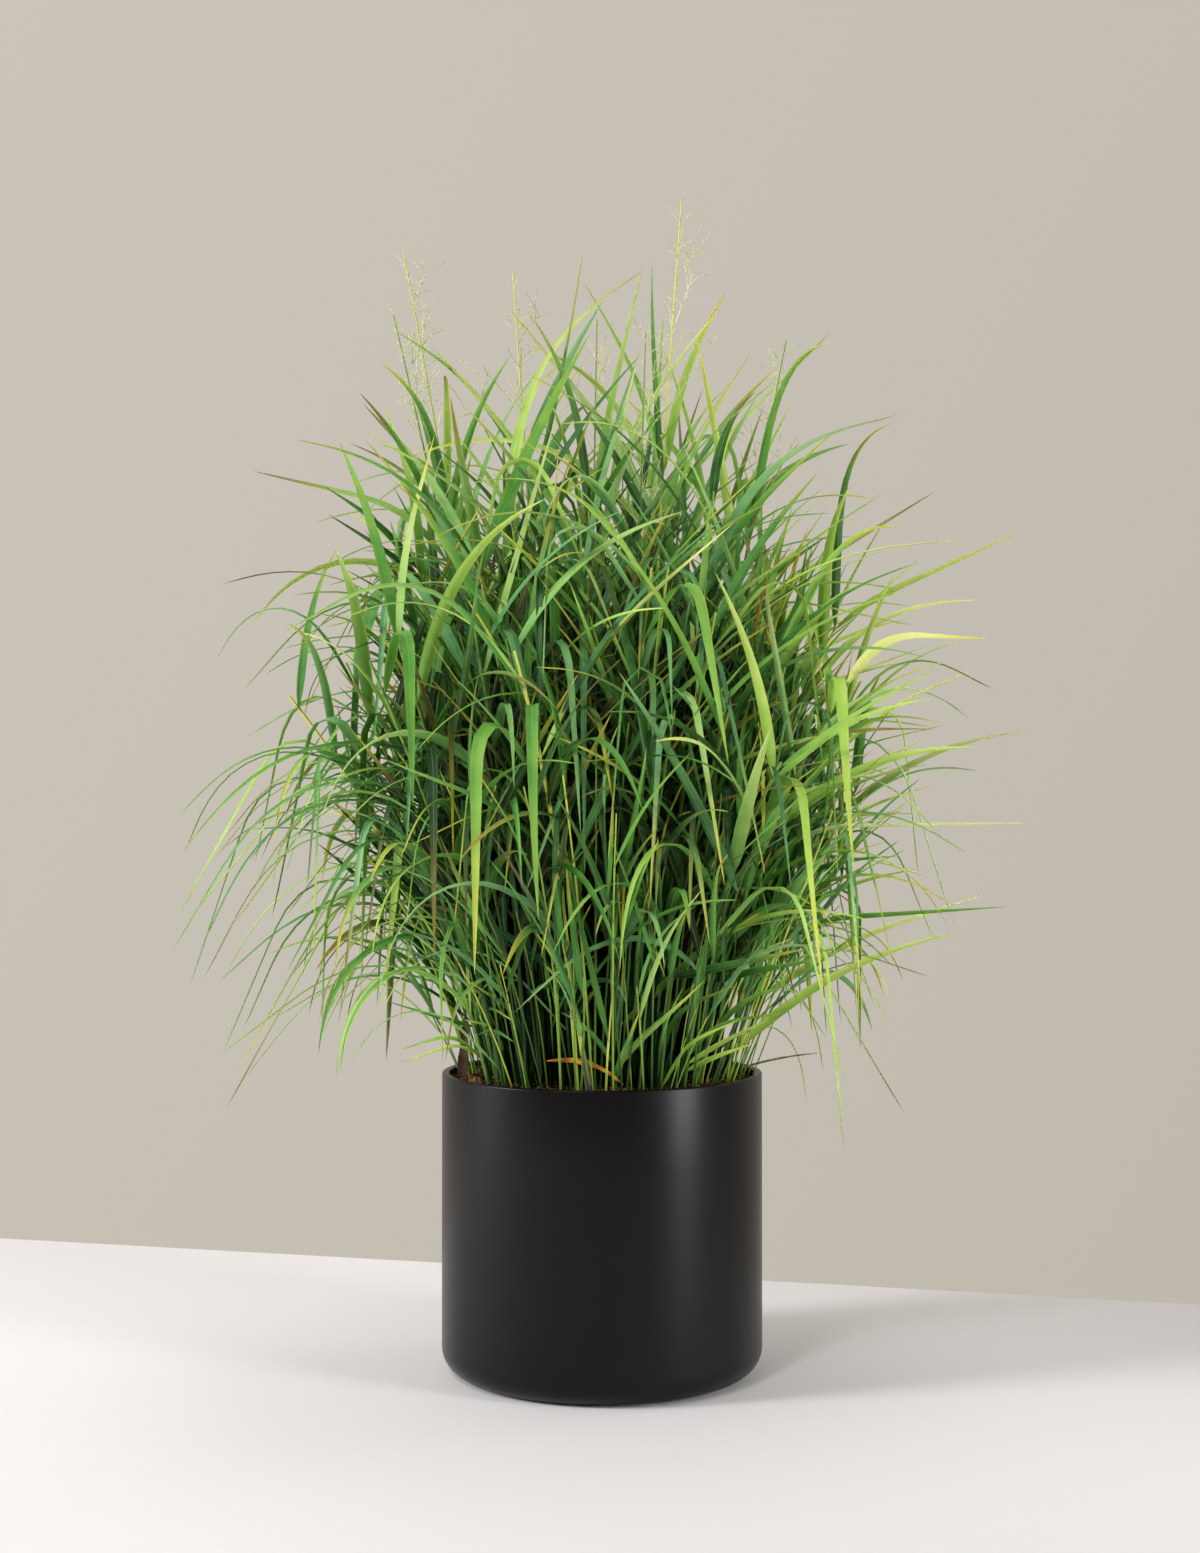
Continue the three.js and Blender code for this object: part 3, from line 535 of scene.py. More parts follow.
def drawBlades(stem, leaf, attempts):
    index, outness = stem["index"], stem["outness"]
    leaves = math.floor(lerp(blade["perInnerCulm"], blade["perOuterCulm"], outness))
    lowest = lerp(blade["lowestInside"], blade["lowestOutside"], outness)
    highest = panicle["lowest"] - 0.02 if stem["flowers"] else blade["highest"]
    share = lerp(lowest, highest, (leaf + between(0.2, 0.8, index, leaf, 1)) / leaves)
    root = axisAt(stem, share)
    outward = math.atan2(root[1], root[0])
    row = 2 * math.pi * chance(index, 7) + (leaf % 2) * math.pi
    turning = blade["turning"] + attempts * degree
    drawn = row + between(-turning, turning, index, leaf, attempts, 2)
    turnOut = np.arctan2(np.sin(outward - drawn), np.cos(outward - drawn))
    azimuth = drawn + turnOut * outness ** 2 * between(*blade["outTurning"], index, leaf, attempts, 3)
    rise = leanTowards(stem, share, azimuth) + between(*blade["opening"], index, leaf, attempts, 4)
    arch = (lerp(blade["archLow"], blade["archHigh"], share ** 1.5) + blade["archOutside"] * outness
            - blade["archStiffSide"] * np.cos(azimuth))
    swell = math.sin(min(math.pi, math.pi / 2 * share / blade["longestAt"]))
    grown = lerp(blade["shortest"], blade["longest"], swell)
    shape = {
        "share": share, "root": root, "azimuth": azimuth, "rise": rise, "bend": blade["bend"],
        "veer": between(-blade["veer"], blade["veer"], index, leaf, attempts, 6),
        "fall": np.minimum(math.pi, rise + arch * between(*blade["archSpread"], index, leaf, attempts, 12)),
        "roll": between(-blade["roll"], blade["roll"], index, leaf, attempts, 7),
        "twist": between(-blade["twist"], blade["twist"], index, leaf, attempts, 8),
        "halfWidth": between(*blade["halfWidth"], index, leaf, 9),
        "length": grown * between(*blade["lengthSpread"], index, leaf, 10)
        * (1 - attempts * blade["shorterPerTry"]),
        "folds": False,
    }
    if folded["lowest"] < share < folded["highest"] and chance(index, leaf, 5) < folded["share"]:
        fold = between(*folded["at"], index, leaf, attempts, 11)
        shape["fall"] = between(*folded["hanging"], index, leaf, attempts, 12)
        shape["bend"] = (fold - folded["before"], fold + folded["after"])
        shape["folds"] = True
    else:
        facing = between(*blade["facing"], index, leaf, attempts, 13)
        shape["roll"] = shape["roll"] + rollToLight(shape) * facing
    return shape, leaves


def widthAt(share):
    widening = np.minimum(1, share / outline["collar"]) ** outline["collarPower"]
    return np.minimum(1, outline["fullness"] * widening * np.maximum(0, 1 - share) ** outline["tipPower"])


# the stray leaf of a stem that ends at a given tip, told from other draws by a corner of its last section
def matchedStray(stem, place, corners):
    tip = np.array(strayTips[place][:3], float)
    attempts = np.arange(stray["tries"])[:, None]
    attempts = attempts[np.floor(chance(place, 1, attempts) * culm["count"]) == stem["index"]][:, None]
    top = panicle["lowest"] if stem["flowers"] else 1
    share = between(stray["lowest"], top, place, 2, attempts)
    root = axisAt(stem, share[:, 0])
    chord = tip - root
    reach = np.linalg.norm(chord, axis=1)[:, None]
    azimuth = np.arctan2(chord[:, 1], chord[:, 0])[:, None]
    stemLean = leanTowards(stem, share, azimuth)
    rise = stemLean + between(*stray["opening"], place, 3, attempts)
    slope = np.arccos(chord[:, 2:] / reach)
    suits = (reach > stray["shortest"]) & (reach < stray["longest"]) & (stemLean >= -stray["backLean"])
    keep = (suits & (rise <= slope * (1 - stray["straightest"])))[:, 0]
    attempts = attempts[keep]
    shape = {
        "share": share[keep], "root": root[keep], "azimuth": azimuth[keep], "veer": 0.0, "rise": rise[keep],
        "bend": (0, between(*stray["bendEnd"], place, 6, attempts)), "length": np.ones((keep.sum(), 1)),
        "roll": between(-stray["roll"], stray["roll"], place, 4, attempts),
        "twist": between(-stray["twist"], stray["twist"], place, 5, attempts),
        "halfWidth": strayTips[place][3], "folds": False,
    }
    low, high = shape["rise"], np.full_like(shape["rise"], math.pi)
    for halving in range(20):
        shape["fall"] = (low + high) / 2
        reached = strandPath(shape)[:, -1] - shape["root"]
        far = np.linalg.norm(reached, axis=1)[:, None]
        short = np.arccos(reached[:, 2:] / far) < slope[keep]
        low, high = np.where(short, shape["fall"], low), np.where(short, high, shape["fall"])
    shape["length"] = reach[keep] / far
    shape["roll"] = shape["roll"] + rollToLight(shape) * between(*stray["facing"], place, 7, attempts)
    late = np.where(np.abs(shape["fall"] - shape["rise"]) > blade["arched"], *stray["lastSection"])
    centre = np.array([pointAt(points, at[0]) for points, at in zip(strandPath(shape), late)])
    halfWidth = shape["halfWidth"] * widthAt(late)
    edge = centre + (rolled(shape, late)[1] * halfWidth[..., None])[:, 0]
    found = matching(edge, corners)
    return None if found is None else picked(shape, found)


def drawBranches(stem, branch, attempts):
    index = stem["index"]
    step = (branch + panicle["jitter"] * chance(index, branch, 21)) / panicle["branches"]
    rise = between(*panicle["opening"], index, branch, attempts, 22)
    jitter = between(-panicle["azimuthJitter"], panicle["azimuthJitter"], index, branch, attempts, 23)
    grown = lerp(panicle["longest"], panicle["shortest"], branch / panicle["branches"])
    return {
        "root": axisAt(stem, lerp(panicle["lowest"], panicle["highest"], step)),
        "azimuth": branch * goldenAngle + jitter, "veer": 0.0, "rise": rise,
        "fall": rise + between(*panicle["droop"], index, branch, attempts, 24), "bend": panicle["bend"],
        "length": grown * between(*panicle["lengthSpread"], index, branch, 25) + 0 * rise,
    }


def growStem(index):
    corners = nodeCorners(f"culm_{index + 1:02d}")
    drawn = drawCulms(index, np.arange(culm["tries"])[:, None])
    paths = strandPath(drawn)
    found = matching(paths[:, -1] + [drawn["tipRadius"], 0, 0], corners)
    stem = picked(drawn, found)
    stem["points"], stem["corners"], stem["blades"], stem["branches"] = paths[found], corners, [], []
    return stem


def tries(kind):
    return np.arange(kind["tries"])[:, None]


stems = [growStem(index) for index in range(culm["count"])]
for stem in stems:
    leaf, leaves = 0, 1
    while leaf < leaves:
        shape, leaves = drawBlades(stem, leaf, tries(blade))
        found = matching(strandPath(shape)[:, -1], stem["corners"])
        if found is not None:
            stem["blades"].append(picked(shape, found))
        leaf += 1
    for branch in range(panicle["branches"] if stem["flowers"] else 0):
        shape = drawBranches(stem, branch, tries(panicle))
        found = matching(strandPath(shape)[:, -1], stem["corners"])
        if found is not None:
            stem["branches"].append(picked(shape, found))
for place in range(len(strayTips)):
    tip = np.array([strayTips[place][:3]], float)
    for stem in stems:
        if matching(tip, stem["corners"]) is not None:
            shape = matchedStray(stem, place, stem["corners"])
            if shape is not None:
                stem["blades"].append({**shape, "place": place})
                break
print("grown:", len(stems), "culms,", sum(len(s["blades"]) for s in stems), "blades,",
      sum(len(s["branches"]) for s in stems), "branches")


def writeAttribute(mesh, name, values, kind="FLOAT"):
    attribute = mesh.attributes.new(name, kind, "POINT")
    field = "vector" if kind == "FLOAT_VECTOR" else "value"
    attribute.data.foreach_set(field, np.asarray(values, np.float32).ravel())


def profileObject(name, corners):
    count = len(corners)
    made = meshObject(name, [(side, lift, 0) for side, lift, under in corners], [],
                      [(i, (i + 1) % count) for i in range(count)])
    for place, label in enumerate(("side", "lift", "under")):
        writeAttribute(made.data, label, [corner[place] for corner in corners])
    return made


def roundCorners(sides):
    return [(math.cos(2 * math.pi * i / sides), math.sin(2 * math.pi * i / sides), 0) for i in range(sides)]


# side, depth (1 is the keel) and how much it belongs to the underside
bladeCorners = [(1, 0, 0.3), (0.5, -0.25, 0), (0, -0.62, 0), (-0.5, -0.25, 0),
                (-1, 0, 0.3), (-0.5, -0.5, 1), (0, -1, 1), (0.5, -0.5, 1)]
thinBladeCorners = [(1, 0, 0.3), (0, -0.5, 0), (-1, 0, 0.3), (0, -1, 1)]

profiles = {
    "blade": profileObject("bladeProfile", bladeCorners),
    "thinBlade": profileObject("thinBladeProfile", thinBladeCorners),
    "culm": profileObject("culmProfile", roundCorners(8)),
    "thinCulm": profileObject("thinCulmProfile", roundCorners(5)),
    "hair": profileObject("hairProfile", roundCorners(3)),
}


# a tree that changes a geometry, and its inputs, each given as name, kind of socket and value
def newTree(name, inputs):
    tree = bpy.data.node_groups.new(name, "GeometryNodeTree")
    for side in ("INPUT", "OUTPUT"):
        tree.interface.new_socket("Geometry", in_out=side, socket_type="NodeSocketGeometry")
    for label, kind, value in inputs:
        socket = tree.interface.new_socket(label, in_out="INPUT", socket_type="NodeSocket" + kind)
        if value is not None:
            socket.default_value = value
    return tree, addNode(tree, "NodeGroupInput").outputs


def endTree(tree, geometry, material):
    real = addNode(tree, "GeometryNodeRealizeInstances", inputs={0: geometry})
    finished = addNode(tree, "GeometryNodeSetMaterial", inputs={0: real.outputs[0], 2: material})
    addNode(tree, "NodeGroupOutput", inputs={0: finished.outputs[0]})


sweepInputs = [("Kind", "Float", 0.0), ("Profile", "Object", None), ("Material", "Material", None)]


# sweeps the rails of one kind: middle + wide * side + deep * lift
def addSweep(tree, given):
    kind, side, lift, middle, wide, deep = [
        addNode(tree, "GeometryNodeInputNamedAttribute", {"data_type": size}, {0: name}).outputs[0]
        for size, names in (("FLOAT", ("kind", "side", "lift")), ("FLOAT_VECTOR", ("middle", "wide", "deep")))
        for name in names]
    isKind = addNode(tree, "FunctionNodeCompare", {"data_type": "FLOAT", "operation": "EQUAL"},
                     {0: kind, 1: given["Kind"], 12: 0.1})
    chosen = addNode(tree, "GeometryNodeSeparateGeometry", {"domain": "POINT"},
                     {0: given["Geometry"], 1: isKind.outputs[0]})
    rail = addNode(tree, "GeometryNodeMeshToCurve", inputs={0: chosen.outputs[0]})
    shape = addNode(tree, "GeometryNodeObjectInfo", inputs={0: given["Profile"]})
    ring = addNode(tree, "GeometryNodeMeshToCurve", inputs={0: shape.outputs[4]})
    skin = addNode(tree, "GeometryNodeCurveToMesh", inputs={0: rail.outputs[0], 1: ring.outputs[0], 3: True})
    aside, below = [addNode(tree, "ShaderNodeVectorMath", {"operation": "SCALE"}, {0: direction, 3: amount})
                    for direction, amount in ((wide, side), (deep, lift))]
    offset = addNode(tree, "ShaderNodeVectorMath", {"operation": "ADD"},
                     {0: aside.outputs[0], 1: below.outputs[0]})
    place = addNode(tree, "ShaderNodeVectorMath", {"operation": "ADD"}, {0: middle, 1: offset.outputs[0]})
    moved = addNode(tree, "GeometryNodeSetPosition", inputs={0: skin.outputs[0], 2: place.outputs[0]})
    merged = addNode(tree, "GeometryNodeMergeByDistance", inputs={0: moved.outputs[0], "Distance": 0.00001})
    smoothed = addNode(tree, "GeometryNodeSetShadeSmooth", {"domain": "FACE"},
                       {0: merged.outputs[0], 2: True})
    angle = addNode(tree, "GeometryNodeInputMeshEdgeAngle")
    sharp = addNode(tree, "FunctionNodeCompare", greaterThan, {0: angle.outputs[0], 1: 65 * degree})
    return addNode(tree, "GeometryNodeSetShadeSmooth", {"domain": "EDGE"},
                   {0: smoothed.outputs[0], 1: sharp.outputs[0], 2: False}).outputs[0]


def makeSweepTree():
    tree, given = newTree("sweptStrands", sweepInputs)
    endTree(tree, addSweep(tree, given), given["Material"])
    return tree


# hair-fine branches with a husk on every point that is a bud
def makePanicleTree():
    tree, given = newTree("panicle", sweepInputs + [
        ("Husk", "Object", None), ("Smallest husk", "Float", 0.6), ("Largest husk", "Float", 1.0),
        ("Seed", "Int", 1)])
    swept = addSweep(tree, given)
    bud, ahead = [addNode(tree, "GeometryNodeInputNamedAttribute", {"data_type": size}, {0: name}).outputs[0]
                  for name, size in (("bud", "FLOAT"), ("heading", "FLOAT_VECTOR"))]
    isBud = addNode(tree, "FunctionNodeCompare", greaterThan, {0: bud, 1: 0.5})
    husk = addNode(tree, "GeometryNodeObjectInfo", inputs={0: given["Husk"]})
    turned = addNode(tree, "FunctionNodeAlignRotationToVector", {"axis": "Z"}, {2: ahead})
    size = addNode(tree, "FunctionNodeRandomValue", {"data_type": "FLOAT"},
                   {2: given["Smallest husk"], 3: given["Largest husk"], 8: given["Seed"]})
    husks = addNode(tree, "GeometryNodeInstanceOnPoints", inputs={
        0: given["Geometry"], 1: isBud.outputs[0], 2: husk.outputs[4], 5: turned.outputs[0],
        6: size.outputs[1]})
    both = addNode(tree, "GeometryNodeJoinGeometry", inputs={0: swept})
    tree.links.new(husks.outputs[0], both.inputs[0])
    endTree(tree, both.outputs[0], given["Material"])
    return tree


# runs a tree on an object and returns the plain mesh that it makes
def runTree(base, tree, values):
    modifier = base.modifiers.new("grow", "NODES")
    modifier.node_group = tree
    for socket in tree.interface.items_tree:
        if socket.in_out == "INPUT" and socket.name in values:
            modifier[socket.identifier] = values[socket.name]
    graph = bpy.context.evaluated_depsgraph_get()
    graph.update()
    mesh = bpy.data.meshes.new_from_object(base.evaluated_get(graph), depsgraph=graph)
    base.modifiers.remove(modifier)
    return mesh


def joinedPiece(name, meshes):
    made = []
    for mesh in meshes:
        if len(mesh.polygons):
            made.append(bpy.data.objects.new(name, mesh))
            scene.collection.objects.link(made[-1])
    if len(made) > 1:
        with bpy.context.temp_override(active_object=made[0], selected_editable_objects=made):
            bpy.ops.object.join()
    made[0].name = name
    made[0].data.name = name
    return made[0]


sweepTree = makeSweepTree()
panicleTree = makePanicleTree()

# rails carry the middle, the half width and the depth of every section, and what the materials read
kinds = {"culm": 0.0, "blade": 1.0, "hair": 2.0}
railFields = ("kind", "tone", "cool", "dry", "red", "joint", "bud")
railVectors = ("middle", "wide", "deep", "heading")


def newRails():
    return {name: [] for name in railFields + railVectors} | {"edges": [], "count": 0}


def addRail(rails, kind, points, wide, deep, heading, **values):
    count = len(points)
    rails["edges"] += [(rails["count"] + i, rails["count"] + i + 1) for i in range(count - 1)]
    rails["count"] += count
    values = {"kind": kinds[kind], **values}
    for name in railFields:
        rails[name].append(np.broadcast_to(np.asarray(values.get(name, 0.0), float), count))
    for name, value in zip(railVectors, (points / perMetre, wide / perMetre, deep / perMetre, heading)):
        rails[name].append(np.broadcast_to(value, (count, 3)))


def railObject(name, rails):
    made = meshObject(name, np.concatenate(rails["middle"]), [], rails["edges"])
    for field in railFields:
        writeAttribute(made.data, field, np.concatenate(rails[field]))
    for field in railVectors:
        writeAttribute(made.data, field, np.concatenate(rails[field]), "FLOAT_VECTOR")
    return made


# what the strands look like
section = {
    "bladePoints": 17, "foldedPoints": 22, "thinBladePoints": 14, "culmPoints": 34, "thinCulmPoints": 22,
    "closerToTip": 1.25,  # sections stand closer together toward a blade's tip
    "keel": 2.0, "shallowestKeel": 0.6,
    "tipShare": 0.06,  # the last part of a blade, in which its keel runs out
    "rootShare": 0.42,  # half width of a leaf's foot, in radii of its culm
    "footEnd": 0.3,
    "looseRoot": 1.5,  # radius under the foot of a blade that has no culm of its own
    "sheath": 0.12, "sheathSwell": 0.28,  # how much thicker a culm is where a leaf's sheath ends
    "barest": 0.86,  # thickness of a culm between sheaths
    "jointLength": 0.012, "jointDark": 0.7,
}

colour = {
    "lowLevel": 330, "low": 0.28,  # tone of leaves rooted at the soil
    "highLevel": 1080, "high": 0.58,  # and at the top; leaves grow lighter upward, partly as younger growth and partly as painted light
    "spread": 0.24,
    "rightLight": 0.06,  # painted light: how much lighter leaves are on the right, and darker on the left
    "lightest": 0.78,
    "foldedDarker": 0.1,  # how far below that a folded leaf stays
    "bloom": 0.85,  # the most wax that a blade has
    "waxy": 0.5,  # share of blades that have any
    "outer": 0.1,  # painted light: how much lighter leaves are on the outside
    "inner": 0.55,  # painted shade: how much darker leaves in the middle of the clump are
    "folded": 0.04,  # folded leaves are paler
    "tip": 0.14,  # and so are tips
    "dryTips": 0.42,  # share of leaves with straw-coloured tips
    "yellow": 0.04,  # share of narrow leaves that are yellow all over
    "widestYellow": 3.6,
    "redTips": 0.09, "redLeft": (1.6, 200),  # more of them on the left
    "dryFrom": 0.55, "redFrom": 0.45, "redTo": 0.95,  # along the blade
    "culm": (0.26, 0.75),  # tone of a culm at its foot and its top
    "culmSpread": 0.2, "paleCulms": 0.25, "culmPaler": 0.35, "litCulms": 0.15,
}

# colours of single leaves that reach out: tone, dry and red at the tip
strayLooks = {
    0: (0.6, 0.5, 0), 1: (0.95, 0.75, 0), 2: (0.7, 0.25, 0), 3: (1.0, 0.25, 0), 5: (0.75, 0.4, 0.8),
    6: (0.5, 0, 0.25), 7: (0.45, 0, 0.5), 10: (0.5, 0, 0.5), 12: (0.5, 0.1, 0.6), 13: (0.5, 0.2, 0.8),
    14: (0.45, 0.1, 0.95), 19: (0.5, 0.1, 0.85), 21: (0.7, 0.4, 0.1), 23: (0.6, 0.5, 0.2),
}

random = np.random.default_rng(11)


def leafLook(shape, place=None):
    x, level = shape["root"][0], shape["root"][2]
    height = np.clip((level - colour["lowLevel"]) / (colour["highLevel"] - colour["lowLevel"]), 0, 1)
    # lighter higher up: partly younger growth, partly painted light
    tone = lerp(colour["low"], colour["high"], height) + random.uniform(-colour["spread"], colour["spread"])
    # painted light from the right, and a paler tone for folded leaves
    tone += colour["folded"] * shape["folds"] + colour["rightLight"] * np.clip(x / 150, -1, 1)
    dryTip = random.uniform(0.3, 0.9) if random.random() < colour["dryTips"] else 0.0
    isYellow = random.random() < colour["yellow"] and shape["halfWidth"] < colour["widestYellow"]
    dryAll = random.uniform(0.3, 0.7) if isYellow else 0.0
    most, reach = colour["redLeft"]
    redTip = random.uniform(0.4, 0.9) if random.random() < colour["redTips"] * (most - x / reach) else 0.0
    if place in strayLooks:
        tone, dryTip, redTip = strayLooks[place]
        dryAll = dryTip * 0.15
    if "tone" in shape:
        tone, dryAll = shape["tone"], 0.0
    return tone, dryAll, dryTip, redTip


def crownRadiusAt(height):
    below = crown["widest"] - crown["narrowing"] * (crown["widestHeight"] - height)
    climbed = (height - crown["widestHeight"]) / (crown["top"] - crown["widestHeight"])
    above = crown["widest"] * np.sqrt(np.maximum(0, 1 - climbed ** 2))
    return np.where(height < crown["widestHeight"], below, above)


# where the painted shade inside the clump lies and how it fades upward
shade = {
    "soilLevel": 317, "spreadLevel": 640,  # the clump widens between these
    "footRadius": 166, "leastRadius": 60,
    "lightFrom": 560, "lightOver": 560,  # light comes in from the first level, over the second height
    "depth": 1.15, "fade": 1.35,
}


# how deep a point lies in the painted shade of the clump: 1 at the axis of the clump and low down, 0 at the
# outside
def paintedShadeDepth(points):
    spread = smooth(points[:, 2], shade["soilLevel"], shade["spreadLevel"])
    radius = lerp(shade["footRadius"], np.maximum(crownRadiusAt(points[:, 2]), shade["leastRadius"]), spread)
    out = np.hypot(points[:, 0], points[:, 1]) / radius
    high = np.clip((points[:, 2] - shade["lightFrom"]) / shade["lightOver"], 0, 1)
    return np.clip(shade["depth"] - out * shade["fade"], 0, 1) * (1 - high)


def bladeRail(rails, shape, radius, points, place=None):
    even = np.linspace(0, 1, points)
    shares = 1 - (1 - even) ** section["closerToTip"]
    shares[-1] = 1
    middle = pointAt(strandPath(shape), shares)
    ahead, wideWay, deepWay = rolled(shape, shares)
    foot = section["rootShare"] * radius / shape["halfWidth"] * (shares < section["footEnd"])
    size = np.maximum(widthAt(shares), foot)
    size[-1] = 0
    keel = section["keel"] * np.maximum(section["shallowestKeel"], size)
    keel = keel * np.minimum(1, (1 - shares) / section["tipShare"])
    tone, dryAll, dryTip, redTip = leafLook(shape, place)
    shadedShare = paintedShadeDepth(middle)
    tone = tone + shape.get("lighter", 0) + shape.get("paleTip", colour["tip"]) * shares
    # painted light on the outside of the clump and painted shade inside it
    tone = tone + colour["outer"] * (1 - shadedShare) - colour["inner"] * shadedShare
    if place is None and "tone" not in shape:
        tone = np.minimum(tone, colour["lightest"] - colour["foldedDarker"] * shape["folds"])
    bloom = random.uniform(0, colour["bloom"]) * (random.random() < colour["waxy"])
    wide = wideWay * (shape["halfWidth"] * size)[:, None]
    addRail(rails, "blade", middle, wide, -deepWay * keel[:, None], ahead,
            tone=tone, cool=shape.get("cool", bloom),
            dry=np.clip(dryAll + dryTip * smooth(shares, colour["dryFrom"], 1), 0, 1),
            red=redTip * smooth(shares, colour["redFrom"], colour["redTo"]))


def culmRail(rails, stem, points, thin=1.0):
    shares = np.linspace(0, 1, points)
    joints = [float(shape["share"]) for shape in stem["blades"]]
    for joint in joints:
        shares = np.append(shares, [joint - section["jointLength"], joint, joint + section["jointLength"]])
    shares = np.unique(np.clip(shares, 0, 1))
    middle = pointAt(stem["points"], shares)
    ahead, across, upper = heading(stem, shares)
    radius = lerp(culm["baseRadius"], stem["tipRadius"], shares) * thin
    swell, dark = np.zeros_like(shares), np.zeros_like(shares)
    for joint in joints:
        below = np.clip((joint - shares) / section["sheath"], 0, 1)
        swell += np.where(shares <= joint, 1 - below, 0)
        dark = np.maximum(dark, np.abs(shares - joint) < section["jointLength"] / 2)
    radius = radius * (section["barest"] + section["sheathSwell"] * np.clip(swell, 0, 1))
    tone = lerp(*colour["culm"], shares) + random.uniform(-colour["culmSpread"], colour["culmSpread"])
    tone = tone + colour["culmPaler"] * (random.random() < colour["paleCulms"])
    # painted shade inside the clump, left off a few culms
    tone = tone - colour["inner"] * paintedShadeDepth(middle) * (random.random() > colour["litCulms"])
    addRail(rails, "culm", middle, across * radius[:, None], upper * radius[:, None], ahead,
            tone=tone, joint=dark * section["jointDark"])


hair = {
    "radius": 0.42, "branchRadius": 0.6, "points": 7, "veer": 0.3, "buds": 3, "twigLength": (16, 42),
    "twigs": 7, "twigsAt": (0.25, 0.98), "twigOpening": (-0.4, 0.6), "twigDroop": 0.7,  # on each main branch
    "topTwigs": 26, "topOpening": (0.25, 0.8), "topDroop": 0.6,  # straight from the axis
    "topLonger": (1.5, 0.6),  # than those of a branch, from the lowest to the highest
    "tone": (0.1, 0.6),
}


def makeHusk():
    # two thin scales that close to a point, 3.4 mm long
    rows = [(0, 0), (0.0007, 0.0008), (0.0008, 0.0018), (0, 0.0034)]
    corners = [(0, 0, 0)]
    for radius, height in rows[1:3]:
        for i in range(4):
            angle = i * math.pi / 2
            corners.append((radius * math.cos(angle), radius * 0.7 * math.sin(angle), height))
    corners.append((0, 0, rows[3][1]))
    faces = []
    for i in range(4):
        after = (i + 1) % 4
        faces += [(0, 1 + after, 1 + i), (1 + i, 1 + after, 5 + after, 5 + i), (5 + i, 5 + after, 9)]
    return meshObject("husk", corners, faces)


husk = makeHusk()


def hairRail(rails, shape, radius, buds):
    shares = np.linspace(0, 1, hair["points"])
    middle = pointAt(strandPath(shape), shares)
    ahead, across, upper = heading(shape, shares)
    thick = radius * lerp(1, 0.5, shares)[:, None]
    bud = np.zeros(len(shares))
    bud[len(shares) - buds:] = 1
    tone = random.uniform(*hair["tone"])
    addRail(rails, "hair", middle, across * thick, upper * thick, ahead, tone=tone, bud=bud)


def addTwig(rails, root, rise, droop, longer=1):
    twig = {
        "root": root, "azimuth": random.uniform(0, 2 * math.pi), "veer": hair["veer"], "rise": rise,
        "fall": rise + random.uniform(0, droop), "bend": (0, 1),
        "length": longer * random.uniform(*hair["twigLength"]),
    }
    hairRail(rails, twig, hair["radius"], hair["buds"])


def panicleRails(rails, stem):
    for branch in stem["branches"]:
        hairRail(rails, branch, hair["branchRadius"], 1)
        path = strandPath(branch)
        for twig in range(hair["twigs"]):
            share = random.uniform(*hair["twigsAt"])
            rise = float(branch["rise"]) + random.uniform(*hair["twigOpening"])
            addTwig(rails, pointAt(path, share), rise, hair["twigDroop"])
    for twig in range(hair["topTwigs"]):
        share = random.uniform(panicle["lowest"], 0.99)
        rise = random.uniform(*hair["topOpening"])
        longer = lerp(*hair["topLonger"], (share - panicle["lowest"]) / (1 - panicle["lowest"]))
        addTwig(rails, axisAt(stem, share), rise, hair["topDroop"], longer)


def strandPiece(name, rails, bladeProfile, culmProfile, bladeMaterial=leafMaterial):
    base = railObject(name + "Rails", rails)
    sweeps = (("culm", culmProfile, culmMaterial), ("blade", bladeProfile, bladeMaterial))
    meshes = [runTree(base, sweepTree, {
        "Kind": kinds[kind], "Profile": profiles[profile], "Material": material})
        for kind, profile, material in sweeps]
    if any((kind == kinds["hair"]).any() for kind in rails["kind"]):
        meshes.append(runTree(base, panicleTree, {
            "Kind": kinds["hair"], "Profile": profiles["hair"], "Husk": husk, "Seed": 5,
            "Material": panicleMaterial}))
    bpy.data.objects.remove(base)
    return joinedPiece(name, meshes)


for stem in stems:
    rails = newRails()
    culmRail(rails, stem, section["culmPoints"])
    for shape in stem["blades"]:
        radius = lerp(culm["baseRadius"], stem["tipRadius"], float(shape["share"]))
        points = section["foldedPoints"] if shape["folds"] else section["bladePoints"]
        bladeRail(rails, shape, radius, points, shape.get("place"))
    if stem["flowers"]:
        panicleRails(rails, stem)
    number = f"{stem['index'] + 1:02d}"
    piece = strandPiece("leafyCulm" + number, rails, "blade", "culm")
    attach(piece, "root")
    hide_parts("culm_" + number)
print("leafy culms swept")


# thinner shoots between the culms, and more leaves on them
shoots = {
    # darker is painted shade, for shoots that stand inside the clump
    "count": 130, "narrower": 0.88, "thinner": 0.6, "shorter": (0.55, 1.0), "tries": 14, "darker": 0.16,
    "moreLeaves": 6,  # on each culm
    "straighter": 0.6,  # of the bend that the larger leaves have
    "foldedShare": 0.35,  # of the folded ones that stay folded
    "unfolded": 0.9,  # bend of the others
    "reach": 0.78,  # of the crown
    "tipLevel": 340,
    "frontClear": -95, "lowClear": 600,  # in front of the first and below the second, only culms show
    "sparseAbove": 900, "sparse": 0.5,  # from here up only half of them grow
    "sheathClear": (-118, -100, -8),  # left of and between these, nothing hides the dead sheath
}

# old leaves that stand close together in the middle of the clump, where little light comes; their nearly
# black material is painted shade
thicket = {
    "count": 460, "radius": 128, "length": (180, 560), "halfWidth": (3, 6), "points": 9, "rise": 0.16,
    "arch": 0.5, "turn": 1, "veer": 0.4, "roll": 1.5, "twist": 1, "bend": (0.2, 1.1),
}

